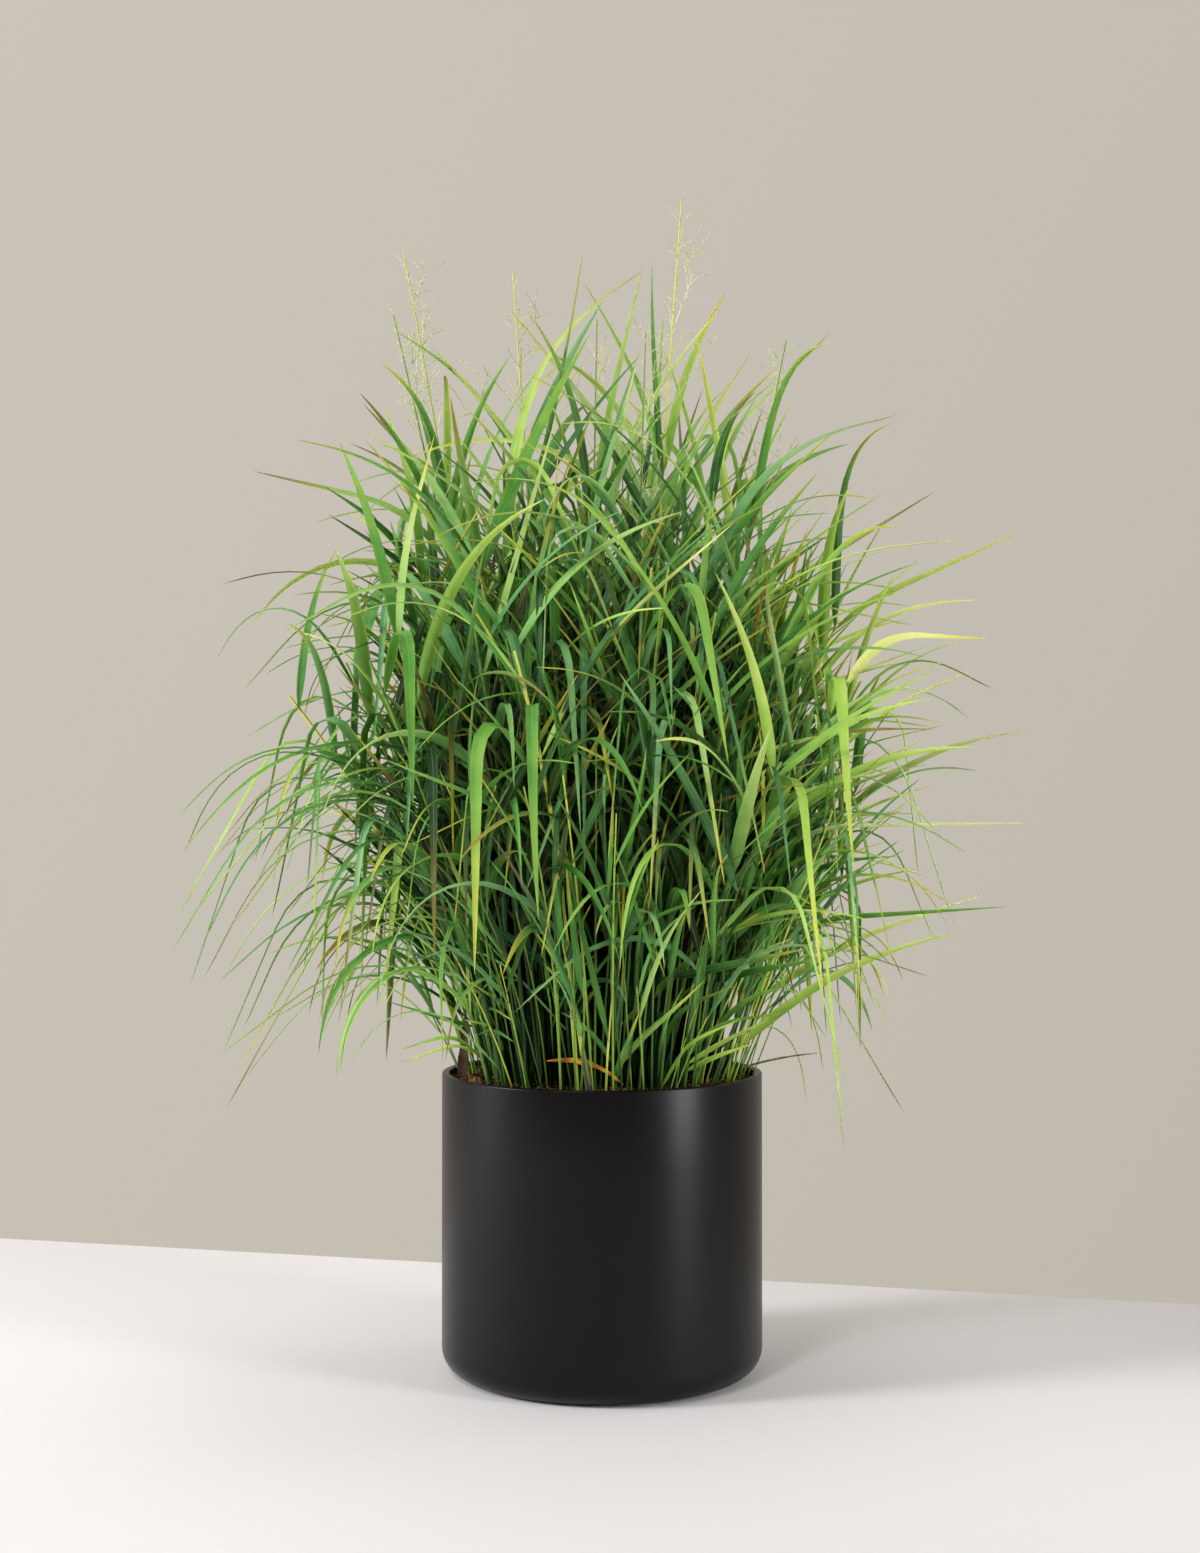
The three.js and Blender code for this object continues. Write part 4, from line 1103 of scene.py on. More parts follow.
# young side shoots at the foot of the clump
tillers = {
    "count": 250, "height": (90, 360), "crownRadius": 161, "above": 8, "lean": (1 * degree, 20 * degree),
    "jitter": 0.1, "arch": 0.25, "turn": 0.5, "veer": 0.3, "points": 8,
    "radius": 0.42, "thickness": (0.8, 1.5),
    "leaves": 2, "lowestLeaf": 0.5, "highestLeaf": 0.98, "opposite": (0.3, 1), "leafTurn": 0.9,
    "leafLength": (90, 230), "halfWidth": (1.8, 4.4), "opening": (5 * degree, 20 * degree),
    "leafArch": (2 * degree, 50 * degree), "leafBend": (0, 1.1), "roll": 0.5, "twist": 0.6, "foot": 1.2,
    "leafPoints": 10, "rimRadius": 160,
}


def staysInCrown(paths):
    out = np.hypot(paths[..., 0], paths[..., 1])
    height = paths[..., 2]
    aside = smooth(np.abs(paths[..., 0]) / crown["middleHalfWidth"], 0.3, 1)
    bottom = lerp(crown["bottomMiddle"], crown["bottom"], aside)
    isLow = height < np.maximum(bottom, shoots["tipLevel"] * (np.arange(paths.shape[-2]) > 8))
    return ((out < crownRadiusAt(height) * shoots["reach"]) & ~isLow).all(-1)


def addFillBlade(rails, stem, leaf):
    shape, leaves = drawBlades(stem, leaf, np.arange(shoots["tries"])[:, None])
    if shape["folds"] and random.random() > shoots["foldedShare"]:
        shape["folds"] = False
        shape["fall"] = shape["rise"] + shoots["unfolded"]
        shape["bend"] = blade["bend"]
        shape["roll"] = shape["roll"] + rollToLight(shape)
    if not shape["folds"]:
        shape["fall"] = shape["rise"] + (shape["fall"] - shape["rise"]) * shoots["straighter"]
    free = np.flatnonzero(staysInCrown(strandPath(shape)[:, 3:]))
    if len(free):
        chosen = picked(shape, free[0])
        middle = strandPath(chosen)[12]
        if middle[1] < shoots["frontClear"] and middle[2] < shoots["lowClear"]:
            return
        if middle[2] > shoots["sparseAbove"] and random.random() < shoots["sparse"]:
            return
        chosen["halfWidth"] = chosen["halfWidth"] * shoots["narrower"]
        # painted shade: the shoots stand among the larger leaves, inside the clump
        chosen["lighter"] = -shoots["darker"]
        bladeRail(rails, chosen, section["looseRoot"], section["thinBladePoints"])
        stem["blades"].append(chosen)


quarters = {"Front": newRails(), "Right": newRails(), "Back": newRails(), "Left": newRails()}


def quarterOf(stem):
    x, y = stem["points"][-1][:2]
    if abs(x) > abs(y):
        return quarters["Right" if x > 0 else "Left"]
    return quarters["Back" if y > 0 else "Front"]


def hidesSheath(root):
    left, front, back = shoots["sheathClear"]
    return root[0] < left and front < root[1] < back


for extra in range(shoots["count"]):
    shoot = picked(drawCulms(culm["count"] + extra, np.array([[0.0]])), 0)
    if hidesSheath(shoot["root"]):
        continue
    shoot["length"] = shoot["length"] * random.uniform(*shoots["shorter"])
    shoot["points"], shoot["blades"] = strandPath(shoot), []
    rails = quarterOf(shoot)
    leaves = math.floor(lerp(blade["perInnerCulm"], blade["perOuterCulm"], shoot["outness"]))
    for leaf in range(leaves):
        addFillBlade(rails, shoot, leaf)
    culmRail(rails, shoot, section["thinCulmPoints"], shoots["thinner"])
for stem in stems:
    for extra in range(shoots["moreLeaves"]):
        addFillBlade(quarterOf(stem), stem, extra + 0.5)


# a number between minus and plus a limit
def around(limit):
    return random.uniform(-limit, limit)


# a place on a sunflower spiral over the soil
def spiralPlace(number, count, radius):
    share = math.sqrt((number + 0.5) / count)
    root = towards(number * goldenAngle) * radius * share
    root[2] = culm["rootLevel"] + tillers["above"]
    return root, share


def addTillerLeaf(rails, tiller, leaf):
    t = tillers
    share = lerp(t["lowestLeaf"], t["highestLeaf"], (leaf + random.uniform(0.2, 1)) / t["leaves"])
    opposite = (leaf % 2) * math.pi * random.uniform(*t["opposite"])
    azimuth = tiller["azimuth"] + opposite + around(t["leafTurn"])
    opened = leanTowards(tiller, share, azimuth) + random.uniform(*t["opening"])
    shape = {
        "share": share, "root": pointAt(tiller["points"], share), "azimuth": azimuth, "rise": opened,
        "fall": opened + random.uniform(*t["leafArch"]), "veer": around(t["veer"]), "bend": t["leafBend"],
        "roll": around(t["roll"]), "twist": around(t["twist"]), "folds": False,
        "halfWidth": random.uniform(*t["halfWidth"]), "length": random.uniform(*t["leafLength"]),
    }
    path = strandPath(shape)
    overRim = np.hypot(path[:, 0], path[:, 1]) > t["rimRadius"]
    if (path[overRim, 2] > shoots["tipLevel"]).all():
        bladeRail(rails, shape, t["foot"], t["leafPoints"])
        tiller["blades"].append(shape)


def addTiller(number):
    t = tillers
    root, out = spiralPlace(number, t["count"], t["crownRadius"])
    if hidesSheath(root):
        return
    rise = lerp(*t["lean"], out) + around(t["jitter"])
    tiller = {
        "root": root, "azimuth": number * goldenAngle + around(t["turn"]), "veer": around(t["veer"]),
        "rise": rise, "fall": rise + random.uniform(0, t["arch"]), "bend": (0, 1),
        "length": random.uniform(*t["height"]),
        "tipRadius": culm["topRadius"], "blades": [],
    }
    tiller["points"] = strandPath(tiller)
    rails = quarterOf(tiller)
    for leaf in range(t["leaves"]):
        addTillerLeaf(rails, tiller, leaf)
    culmRail(rails, tiller, t["points"], t["radius"] * random.uniform(*t["thickness"]))


def addOldLeaf(rails, number):
    t = thicket
    root, out = spiralPlace(number, t["count"], t["radius"])
    rise = random.uniform(0, t["rise"])
    leaf = {
        "root": root, "azimuth": number * goldenAngle + around(t["turn"]), "veer": around(t["veer"]),
        "rise": rise, "fall": rise + random.uniform(0, t["arch"]), "bend": t["bend"],
        "length": random.uniform(*t["length"]), "roll": around(t["roll"]), "twist": around(t["twist"]),
        "folds": False, "halfWidth": random.uniform(*t["halfWidth"]), "tone": 0,
    }
    bladeRail(rails, leaf, section["looseRoot"], t["points"])


for number in range(tillers["count"]):
    addTiller(number)
oldLeaves = newRails()
for number in range(thicket["count"]):
    addOldLeaf(oldLeaves, number)
# the thicket's near-black material is painted shade
oldPiece = strandPiece("oldLeaves", oldLeaves, "thinBlade", "thinCulm", paintedShadeMaterial)
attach(oldPiece, "root")
for side, rails in quarters.items():
    piece = strandPiece("shoots" + side, rails, "thinBlade", "thinCulm")
    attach(piece, "root")
    print(piece.name, len(piece.data.polygons), "faces")
print("shoots swept")


# the arch and the tip of each folded leaf that hangs in front, in pixels, then half width and tone
hangers = [
    (566, 549, 542, 705, 5.6, 0.8), (578, 553, 597, 655, 4.6, 0.86), (491, 636, 493, 812, 5.0, 0.66),
    (561, 645, 569, 842, 5.2, 0.74), (583, 635, 603, 864, 4.6, 0.68), (655, 581, 631, 686, 3.8, 0.72),
    (716, 630, 762, 866, 4.8, 0.7), (672, 614, 657, 728, 4.2, 0.7), (647, 659, 639, 780, 4.8, 0.62),
    (588, 724, 598, 800, 5.6, 0.55), (468, 739, 486, 806, 4.6, 0.6), (532, 750, 491, 820, 4.0, 0.66),
    (598, 790, 532, 892, 5.0, 0.76), (721, 775, 731, 905, 5.2, 0.66), (774, 742, 788, 892, 4.6, 0.6),
    (614, 732, 645, 874, 4.4, 0.62), (609, 824, 660, 920, 5.0, 0.55), (667, 834, 727, 922, 6.0, 0.5),
    (463, 801, 485, 920, 4.8, 0.6), (542, 806, 496, 894, 4.2, 0.66), (634, 588, 606, 676, 4.0, 0.74),
    (700, 790, 690, 930, 4.4, 0.6), (820, 700, 835, 860, 4.2, 0.72), (430, 740, 385, 880, 4.2, 0.6),
]

hanging = {
    "front": -225, "back": -150,  # how far forward the arches are
    "draws": 9000, "turn": 0.4, "veer": 0.4,
    "rise": (9 * degree, 45 * degree), "fall": (150 * degree, 180 * degree),
    "fold": (0.1, 0.62), "before": 0.16, "after": 0.18, "length": (110, 430), "roll": 0.25, "twist": 0.3,
    "weights": (1, 0.25, 1),  # a miss in depth counts less
    "darker": 0.28, "right": 680, "rightDarker": 0.12, "cool": 0.6,
}

# blades that cross in front of the stems: root, middle and tip in pixels, then half width, tone and wax
crossing = [
    (668, 966, 618, 957, 517, 1010, 3.4, 0.66, 0.6), (583, 969, 604, 985, 626, 1003, 3.6, 0.6, 1.0),
    (545, 968, 490, 925, 412, 906, 4.2, 0.42, 0.6), (675, 990, 735, 962, 802, 947, 5.2, 0.44, 0.3),
    (735, 995, 772, 974, 815, 958, 4.6, 0.46, 0.2), (462, 1042, 490, 1034, 517, 1041, 2.8, 0.4, 0.5),
    (464, 1022, 490, 1008, 517, 1013, 2.8, 0.44, 0.4), (503, 1002, 470, 982, 446, 1062, 2.8, 0.6, 0.3),
    (600, 905, 636, 915, 665, 990, 3.4, 0.56, 0.4), (505, 893, 540, 892, 556, 962, 3.6, 0.52, 0.5),
    (560, 1010, 566, 985, 545, 960, 3.8, 0.5, 0.3), (650, 1060, 690, 1010, 735, 985, 3.2, 0.42, 0.1),
    (690, 1070, 735, 1030, 788, 1012, 2.6, 0.5, 0.0), (655, 1075, 665, 1030, 690, 985, 2.6, 0.5, 0.0),
    (520, 1060, 500, 1010, 470, 975, 3.0, 0.46, 0.5), (610, 1060, 622, 1010, 618, 960, 3.2, 0.4, 0.4),
]

# broad blades that stand out of the crown, given in the same way
standing = [
    (525, 440, 462, 358, 395, 324, 4.4, 0.5, 0.2), (485, 452, 430, 405, 382, 372, 4.4, 0.45, 0.3),
    (452, 520, 400, 455, 364, 404, 4.4, 0.42, 0.0), (749, 484, 794, 405, 826, 357, 4.8, 0.5, 0.0),
    (790, 545, 850, 482, 896, 420, 5.0, 0.3, 0.5), (697, 506, 728, 443, 758, 397, 5.2, 0.3, 0.1),
    (717, 585, 770, 500, 842, 423, 4.4, 0.56, 0.0), (612, 480, 640, 380, 646, 273, 3.4, 0.36, 0.0),
    (566, 480, 562, 380, 584, 273, 3.4, 0.36, 0.0), (781, 611, 839, 560, 897, 518, 4.2, 0.66, 0.0),
    (414, 560, 369, 527, 330, 492, 4.5, 0.32, 0.3), (433, 585, 382, 543, 332, 521, 4.8, 0.3, 0.4),
    (600, 480, 570, 395, 530, 325, 4.4, 0.42, 0.3), (640, 560, 620, 470, 575, 400, 5.0, 0.4, 0.6),
    (560, 620, 500, 520, 430, 450, 5.0, 0.36, 0.4), (700, 640, 760, 560, 815, 470, 4.8, 0.48, 0.1),
]

# low leaves at the foot of the clump, given in the same way
lowOnes = [
    (435, 905, 444, 985, 446, 1068, 2.2, 0.6, 0.2), (462, 1045, 467, 990, 500, 985, 3.4, 0.6, 0.3),
    (452, 1036, 425, 1018, 395, 1003, 3.4, 0.42, 0.3), (470, 1045, 440, 1036, 409, 1042, 2.8, 0.66, 0.1),
    (470, 1050, 440, 1054, 402, 1060, 2.2, 0.85, 0.0), (455, 985, 430, 962, 404, 956, 3.6, 0.46, 0.6),
    (564, 978, 573, 1015, 582, 1058, 4.2, 0.5, 0.4), (560, 975, 545, 985, 528, 1000, 3.0, 0.4, 0.4),
    (668, 1068, 690, 1042, 738, 1013, 3.8, 0.66, 0.0), (698, 1062, 735, 1044, 768, 1018, 3.4, 0.8, 0.0),
    (690, 1070, 717, 1054, 750, 1042, 3.0, 0.7, 0.0), (640, 1065, 660, 1020, 700, 975, 3.4, 0.6, 0.1),
    (720, 1050, 748, 1010, 790, 985, 3.6, 0.5, 0.1), (600, 1068, 588, 1030, 560, 1015, 3.0, 0.46, 0.3),
    (625, 1068, 634, 1045, 640, 1010, 3.8, 0.5, 0.1), (505, 1055, 490, 1030, 462, 1015, 3.0, 0.4, 0.3),
]

# how far in front of the planter's axis their roots, middles and tips are
crossedDepths = (-120, -160, -180)
stoodDepths = (-70, -90, -90)

placed = {
    "nearest": 24, "draws": 9000, "turn": 0.5, "veer": 0.6,
    "rise": (0, 85 * degree), "arch": (0, 120 * degree),
    "bendFrom": (-0.2, 0.3), "bendTo": (0.5, 1.2), "longer": (1, 1.4), "weights": (1, 0.2, 1),
    "roll": 0.3, "twist": 0.4, "facing": 0.9, "darker": 0.2,
}

# blades that reach out of the crown: count, side they face, least and greatest of each, tone; the tones on
# the right and at the top are higher than on the left as painted light
reaching = {
    "leftMiddle": {"count": 22, "facing": math.pi, "rise": (20, 60), "fall": (70, 135), "length": (180, 320),
                   "halfWidth": (3.4, 5.4), "x": (-335, -190), "z": (500, 860), "tone": (0.12, 0.45)},
    "rightMiddle": {"count": 16, "facing": 0, "rise": (20, 60), "fall": (60, 112), "length": (180, 320),
                    "halfWidth": (3.2, 5.2), "x": (190, 325), "z": (470, 830), "tone": (0.2, 0.6)},
    "left": {"count": 26, "facing": math.pi, "rise": (24, 62), "fall": (120, 176), "length": (200, 380),
             "halfWidth": (2.4, 4.8), "x": (-440, -300), "z": (300, 800), "tone": (0.1, 0.5)},
    "farLeft": {"count": 16, "facing": math.pi, "rise": (40, 75), "fall": (130, 172), "length": (260, 420),
                "halfWidth": (2.2, 4.2), "x": (-458, -380), "z": (270, 620), "tone": (0.1, 0.5)},
    "leftLow": {"count": 16, "facing": math.pi, "rise": (20, 60), "fall": (130, 176), "length": (150, 280),
                "halfWidth": (1.5, 3), "x": (-330, -190), "z": (330, 520), "tone": (0.15, 0.6)},
    "right": {"count": 22, "facing": 0, "rise": (28, 66), "fall": (62, 118), "length": (170, 330),
              "halfWidth": (2.4, 5.2), "x": (290, 440), "z": (430, 960), "tone": (0.3, 0.78)},
    "rightLow": {"count": 9, "facing": 0, "rise": (40, 80), "fall": (140, 178), "length": (150, 300),
                 "halfWidth": (1.4, 2.6), "x": (235, 400), "z": (262, 470), "tone": (0.3, 0.7)},
    "leftUp": {"count": 10, "facing": math.pi, "rise": (16, 46), "fall": (48, 88), "length": (200, 340),
               "halfWidth": (3.4, 5.8), "x": (-330, -130), "z": (840, 1060), "tone": (0.15, 0.45)},
    "rightUp": {"count": 8, "facing": 0, "rise": (12, 40), "fall": (38, 72), "length": (200, 340),
                "halfWidth": (3.4, 5.8), "x": (120, 330), "z": (860, 1090), "tone": (0.35, 0.85)},
    "top": {"count": 12, "facing": -math.pi / 2, "rise": (0, 20), "fall": (8, 55), "length": (190, 340),
            "halfWidth": (3, 5.8), "x": (-270, 270), "z": (1000, 1200), "tone": (0.3, 0.72)},
}

reach = {
    "draws": 30000, "turn": 0.55, "veer": 0.3, "bendFrom": (-0.1, 0.25), "bendTo": (0.6, 1.15),
    "deepest": 330, "widest": 458, "roll": 0.4, "twist": 0.6, "facing": (0.7, 1.2),
    "paleTip": 0.22, "cool": 0.6,
}

axisShares = np.linspace(0.05, 0.98, 48)
axisTable = np.array([[axisAt(stem, share) for share in axisShares] for stem in stems])
axisTops = np.array([panicle["lowest"] if stem["flowers"] else 1.0 for stem in stems])


# a place that the camera sees at a pixel, at a given distance in front of or behind the planter's axis
def spot(column, row, depth):
    scale = (view["distance"] + depth) / view["focal"]
    height = view["height"] + (view["horizon"] - row) * scale
    return np.array([(column - view["middle"]) * scale, depth, height])


def drawRoots(count):
    chosen = random.integers(0, len(stems), count)
    step = random.integers(0, len(axisShares), count)
    return axisTable[chosen, step], axisShares[step] < axisTops[chosen]


def column(low, high, count):
    return random.uniform(low, high, (count, 1))


# how far two places of each draw are from the ones wanted, in all
def missesOf(places, wanted, weights):
    return sum(np.linalg.norm((place - want) * weights, axis=1) for place, want in zip(places, wanted))


def addHanger(rails, archX, archY, tipX, tipY, halfWidth, tone):
    h = hanging
    count = h["draws"]
    arch, tip = spot(archX, archY, h["front"]), spot(tipX, tipY, h["front"])
    roots, allowed = drawRoots(count)
    facing = np.arctan2(tip[1] - roots[:, 1], tip[0] - roots[:, 0])[:, None]
    fold = column(*h["fold"], count)
    shape = {
        "root": roots, "azimuth": facing + column(-h["turn"], h["turn"], count),
        "veer": column(-h["veer"], h["veer"], count), "rise": column(*h["rise"], count),
        "fall": column(*h["fall"], count), "bend": (fold - h["before"], fold + h["after"]),
        "length": column(*h["length"], count),
    }
    paths = strandPath(shape)
    highest = paths[np.arange(count), paths[:, :, 2].argmax(1)]
    misses = missesOf((highest, paths[:, -1]), (arch, tip), h["weights"])
    misses = misses + 1000 * ~allowed + 1000 * (paths[:, -1, 1] > h["back"])
    leaf = picked(shape, int(misses.argmin()))
    darker = h["darker"] + h["rightDarker"] * (archX > h["right"])
    leaf |= {"halfWidth": halfWidth, "tone": tone - darker, "cool": h["cool"], "roll": around(h["roll"]),
             "twist": around(h["twist"]), "folds": True}
    bladeRail(rails, leaf, section["looseRoot"], section["foldedPoints"])


def addPlaced(rails, depths, rootX, rootY, middleX, middleY, tipX, tipY, halfWidth, tone, wax):
    p = placed
    count = p["draws"]
    root, middle, tip = [spot(*pixel, depth) for pixel, depth in
                         zip(((rootX, rootY), (middleX, middleY), (tipX, tipY)), depths)]
    axes = axisTable[axisShares < axisTops[:, None]]
    near = np.argsort(np.linalg.norm((axes - root) * (1, 0.4, 1), axis=1))[:p["nearest"]]
    roots = axes[near][random.integers(0, p["nearest"], count)]
    distance = np.linalg.norm(tip - roots, axis=1)[:, None]
    facing = np.arctan2(tip[1] - roots[:, 1], tip[0] - roots[:, 0])[:, None]
    rise = column(*p["rise"], count)
    shape = {
        "root": roots, "azimuth": facing + column(-p["turn"], p["turn"], count),
        "veer": column(-p["veer"], p["veer"], count), "rise": rise, "fall": rise + column(*p["arch"], count),
        "bend": (column(*p["bendFrom"], count), column(*p["bendTo"], count)),
        "length": distance * column(*p["longer"], count),
    }
    paths = strandPath(shape)
    misses = missesOf((paths[:, 12], paths[:, -1]), (middle, tip), p["weights"])
    leaf = picked(shape, int(misses.argmin()))
    leaf |= {"halfWidth": halfWidth, "tone": tone - p["darker"], "cool": wax, "roll": around(p["roll"]),
             "twist": around(p["twist"]), "folds": False}
    leaf["roll"] += float(fullRoll(leaf)) * p["facing"]
    bladeRail(rails, leaf, section["looseRoot"], section["bladePoints"])


def addReaching(rails, kind):
    count = reach["draws"]
    roots, allowed = drawRoots(count)
    shape = {
        "root": roots, "azimuth": kind["facing"] + random.normal(0, reach["turn"], (count, 1)),
        "veer": column(-reach["veer"], reach["veer"], count), "rise": column(*kind["rise"], count) * degree,
        "fall": column(*kind["fall"], count) * degree,
        "bend": (column(*reach["bendFrom"], count), column(*reach["bendTo"], count)),
        "length": column(*kind["length"], count),
    }
    if kind is reaching["top"]:
        shape["azimuth"] = column(0, 2 * math.pi, count)
    paths = strandPath(shape)
    x, y, z = paths[:, -1].T
    suits = allowed & (x > kind["x"][0]) & (x < kind["x"][1]) & (z > kind["z"][0]) & (z < kind["z"][1])
    suits &= (np.abs(y) < reach["deepest"]) & (np.abs(paths[:, :, 0]).max(1) < reach["widest"])
    for found in np.flatnonzero(suits)[:kind["count"]]:
        leaf = picked(shape, found)
        leaf |= {"halfWidth": random.uniform(*kind["halfWidth"]), "tone": random.uniform(*kind["tone"]),
                 "roll": around(reach["roll"]), "twist": around(reach["twist"]), "folds": False}
        leaf["roll"] += float(rollToLight(leaf)) * random.uniform(*reach["facing"])
        leaf["paleTip"] = reach["paleTip"]
        leaf["cool"] = random.uniform(0, reach["cool"]) if kind["facing"] else 0.0
        bladeRail(rails, leaf, section["looseRoot"], section["bladePoints"])


hangingRails, reachingRails, lowRails = newRails(), newRails(), newRails()
for values in hangers:
    addHanger(hangingRails, *values)
for values in crossing:
    addPlaced(hangingRails, crossedDepths, *values)
for values in standing:
    addPlaced(hangingRails, stoodDepths, *values)
hangingPiece = strandPiece("hangingLeaves", hangingRails, "blade", "culm")
for kind in reaching.values():
    addReaching(reachingRails, kind)
reachingPiece = strandPiece("reachingLeaves", reachingRails, "thinBlade", "thinCulm")
for values in lowOnes:
    addPlaced(lowRails, crossedDepths, *values)
lowPiece = strandPiece("lowLeaves", lowRails, "blade", "culm")
for piece in (hangingPiece, reachingPiece, lowPiece):
    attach(piece, "root")
    print(piece.name, len(piece.data.polygons), "faces")


planter = {
    "radius": 175, "height": 325, "wall": 8, "floor": 12, "baseRound": 28, "rimRound": 2, "sides": 160,
}


# black plastic, moulded with a fine satin texture: even and deep, lighter where it turns away
def makePlasticMaterial():
    material, tree, shader = newMaterial("satinMouldedPlastic")
    place = addNode(tree, "ShaderNodeTexCoord")
    texture, cloud = [addNode(tree, "ShaderNodeTexNoise",
                              inputs={"Vector": place.outputs["Object"], "Scale": scale, "Detail": detail})
                      for scale, detail in ((1400.0, 2.0), (9.0, 4.0))]
    tint = addNode(tree, "ShaderNodeValToRGB", inputs={0: cloud.outputs[0]})
    setRamp(tint, [(0.35, "#0b090a"), (0.65, "#0f0c0d")])
    gloss = addNode(tree, "ShaderNodeMapRange", inputs={0: cloud.outputs[0], 1: 0.3, 2: 0.7, 3: 0.3, 4: 0.34})
    bump = addNode(tree, "ShaderNodeBump",
                   inputs={"Height": texture.outputs[0], "Strength": 0.12, "Distance": 0.0002})
    setInputs(tree, shader, {"Base Color": tint.outputs[0], "Roughness": gloss.outputs[0],
                             "Normal": bump.outputs[0], "IOR": 1.46, "Specular IOR Level": 0.22})
    return material


def arc(centreX, centreY, radius, start, end, steps):
    angles = np.radians(np.linspace(start, end, steps + 1))
    return [(centreX + radius * math.cos(a), centreY + radius * math.sin(a)) for a in angles]


# turns a profile of (radius, height) round the vertical; a radius of 0 is one vertex
def lathe(name, profile, sides):
    vertices, rings, faces = [], [], []
    for radius, height in profile:
        if radius < 1e-6:
            rings.append([len(vertices)] * sides)
            vertices.append((0, 0, height / perMetre))
            continue
        rings.append([len(vertices) + i for i in range(sides)])
        for i in range(sides):
            angle = 2 * math.pi * i / sides
            corner = (radius * math.cos(angle), radius * math.sin(angle), height)
            vertices.append([value / perMetre for value in corner])
    for low, high in zip(rings, rings[1:]):
        for i in range(sides):
            j = (i + 1) % sides
            corners = [low[i], low[j], high[j], high[i]]
            faces.append([c for k, c in enumerate(corners) if c not in corners[:k]])
    made = meshObject(name, vertices, faces)
    made.data.shade_smooth()
    return made


def makePlanter():
    p = planter
    inner = p["radius"] - p["wall"]
    profile = [(0, 0), (80, 0), (140, 0)]
    profile += arc(p["radius"] - p["baseRound"], p["baseRound"], p["baseRound"], -90, 0, 14)
    profile += [(p["radius"], 120), (p["radius"], 240)]
    profile += arc(p["radius"] - p["rimRound"], p["height"] - p["rimRound"], p["rimRound"], 0, 90, 5)
    profile += arc(inner + p["rimRound"], p["height"] - p["rimRound"], p["rimRound"], 90, 180, 5)
    profile += [(inner, 200), (inner, p["floor"] + 4), (inner - 4, p["floor"]), (80, p["floor"])]
    profile += [(0, p["floor"])]
    made = lathe("satinPlanter", profile, p["sides"])
    made.data.materials.append(makePlasticMaterial())
    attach(made, "root")
    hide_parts("planter")


makePlanter()
print("planter turned")


# composted bark: dull, red-brown to nearly black, with a few fresh pale chips
def makeBarkMaterial():
    stops = [(0.0, "#190f0a"), (0.4, "#372015"), (0.75, "#583423"), (0.93, "#7a5238"), (1.0, "#9c7855")]
    made = makeMottled("compostedBark", 350.0, 4.0, stops, 0.6, 0.001, 0.92)
    material, tree, shader, noise, tint, bump = made
    tone = addNode(tree, "ShaderNodeAttribute", {"attribute_name": "tone"})
    mixed = addNode(tree, "ShaderNodeMath", multiplyAdd, {0: noise.outputs[0], 1: 0.5, 2: -0.25})
    toned = addNode(tree, "ShaderNodeMath", {"operation": "ADD"},
                    {0: mixed.outputs[0], 1: tone.outputs["Fac"]})
    setInputs(tree, tint, {0: toned.outputs[0]})
    shader.inputs["Specular IOR Level"].default_value = 0.3
    return material


barkMaterial = makeBarkMaterial()


def makeChip(name, jitter):
    phi = (1 + math.sqrt(5)) / 2
    corners = [(-1, phi, 0), (1, phi, 0), (-1, -phi, 0), (1, -phi, 0), (0, -1, phi), (0, 1, phi),
               (0, -1, -phi), (0, 1, -phi), (phi, 0, -1), (phi, 0, 1), (-phi, 0, -1), (-phi, 0, 1)]
    faces = [(0, 11, 5), (0, 5, 1), (0, 1, 7), (0, 7, 10), (0, 10, 11), (1, 5, 9), (5, 11, 4), (11, 10, 2),
             (10, 7, 6), (7, 1, 8), (3, 9, 4), (3, 4, 2), (3, 2, 6), (3, 6, 8), (3, 8, 9), (4, 9, 5),
             (2, 4, 11), (6, 2, 10), (8, 6, 7), (9, 8, 1)]
    jittered = random.uniform(1 - jitter, 1 + jitter, (12, 3))
    return meshObject(name, np.array(corners) * (2.4, 1.4, 0.8) / perMetre * jittered, faces)


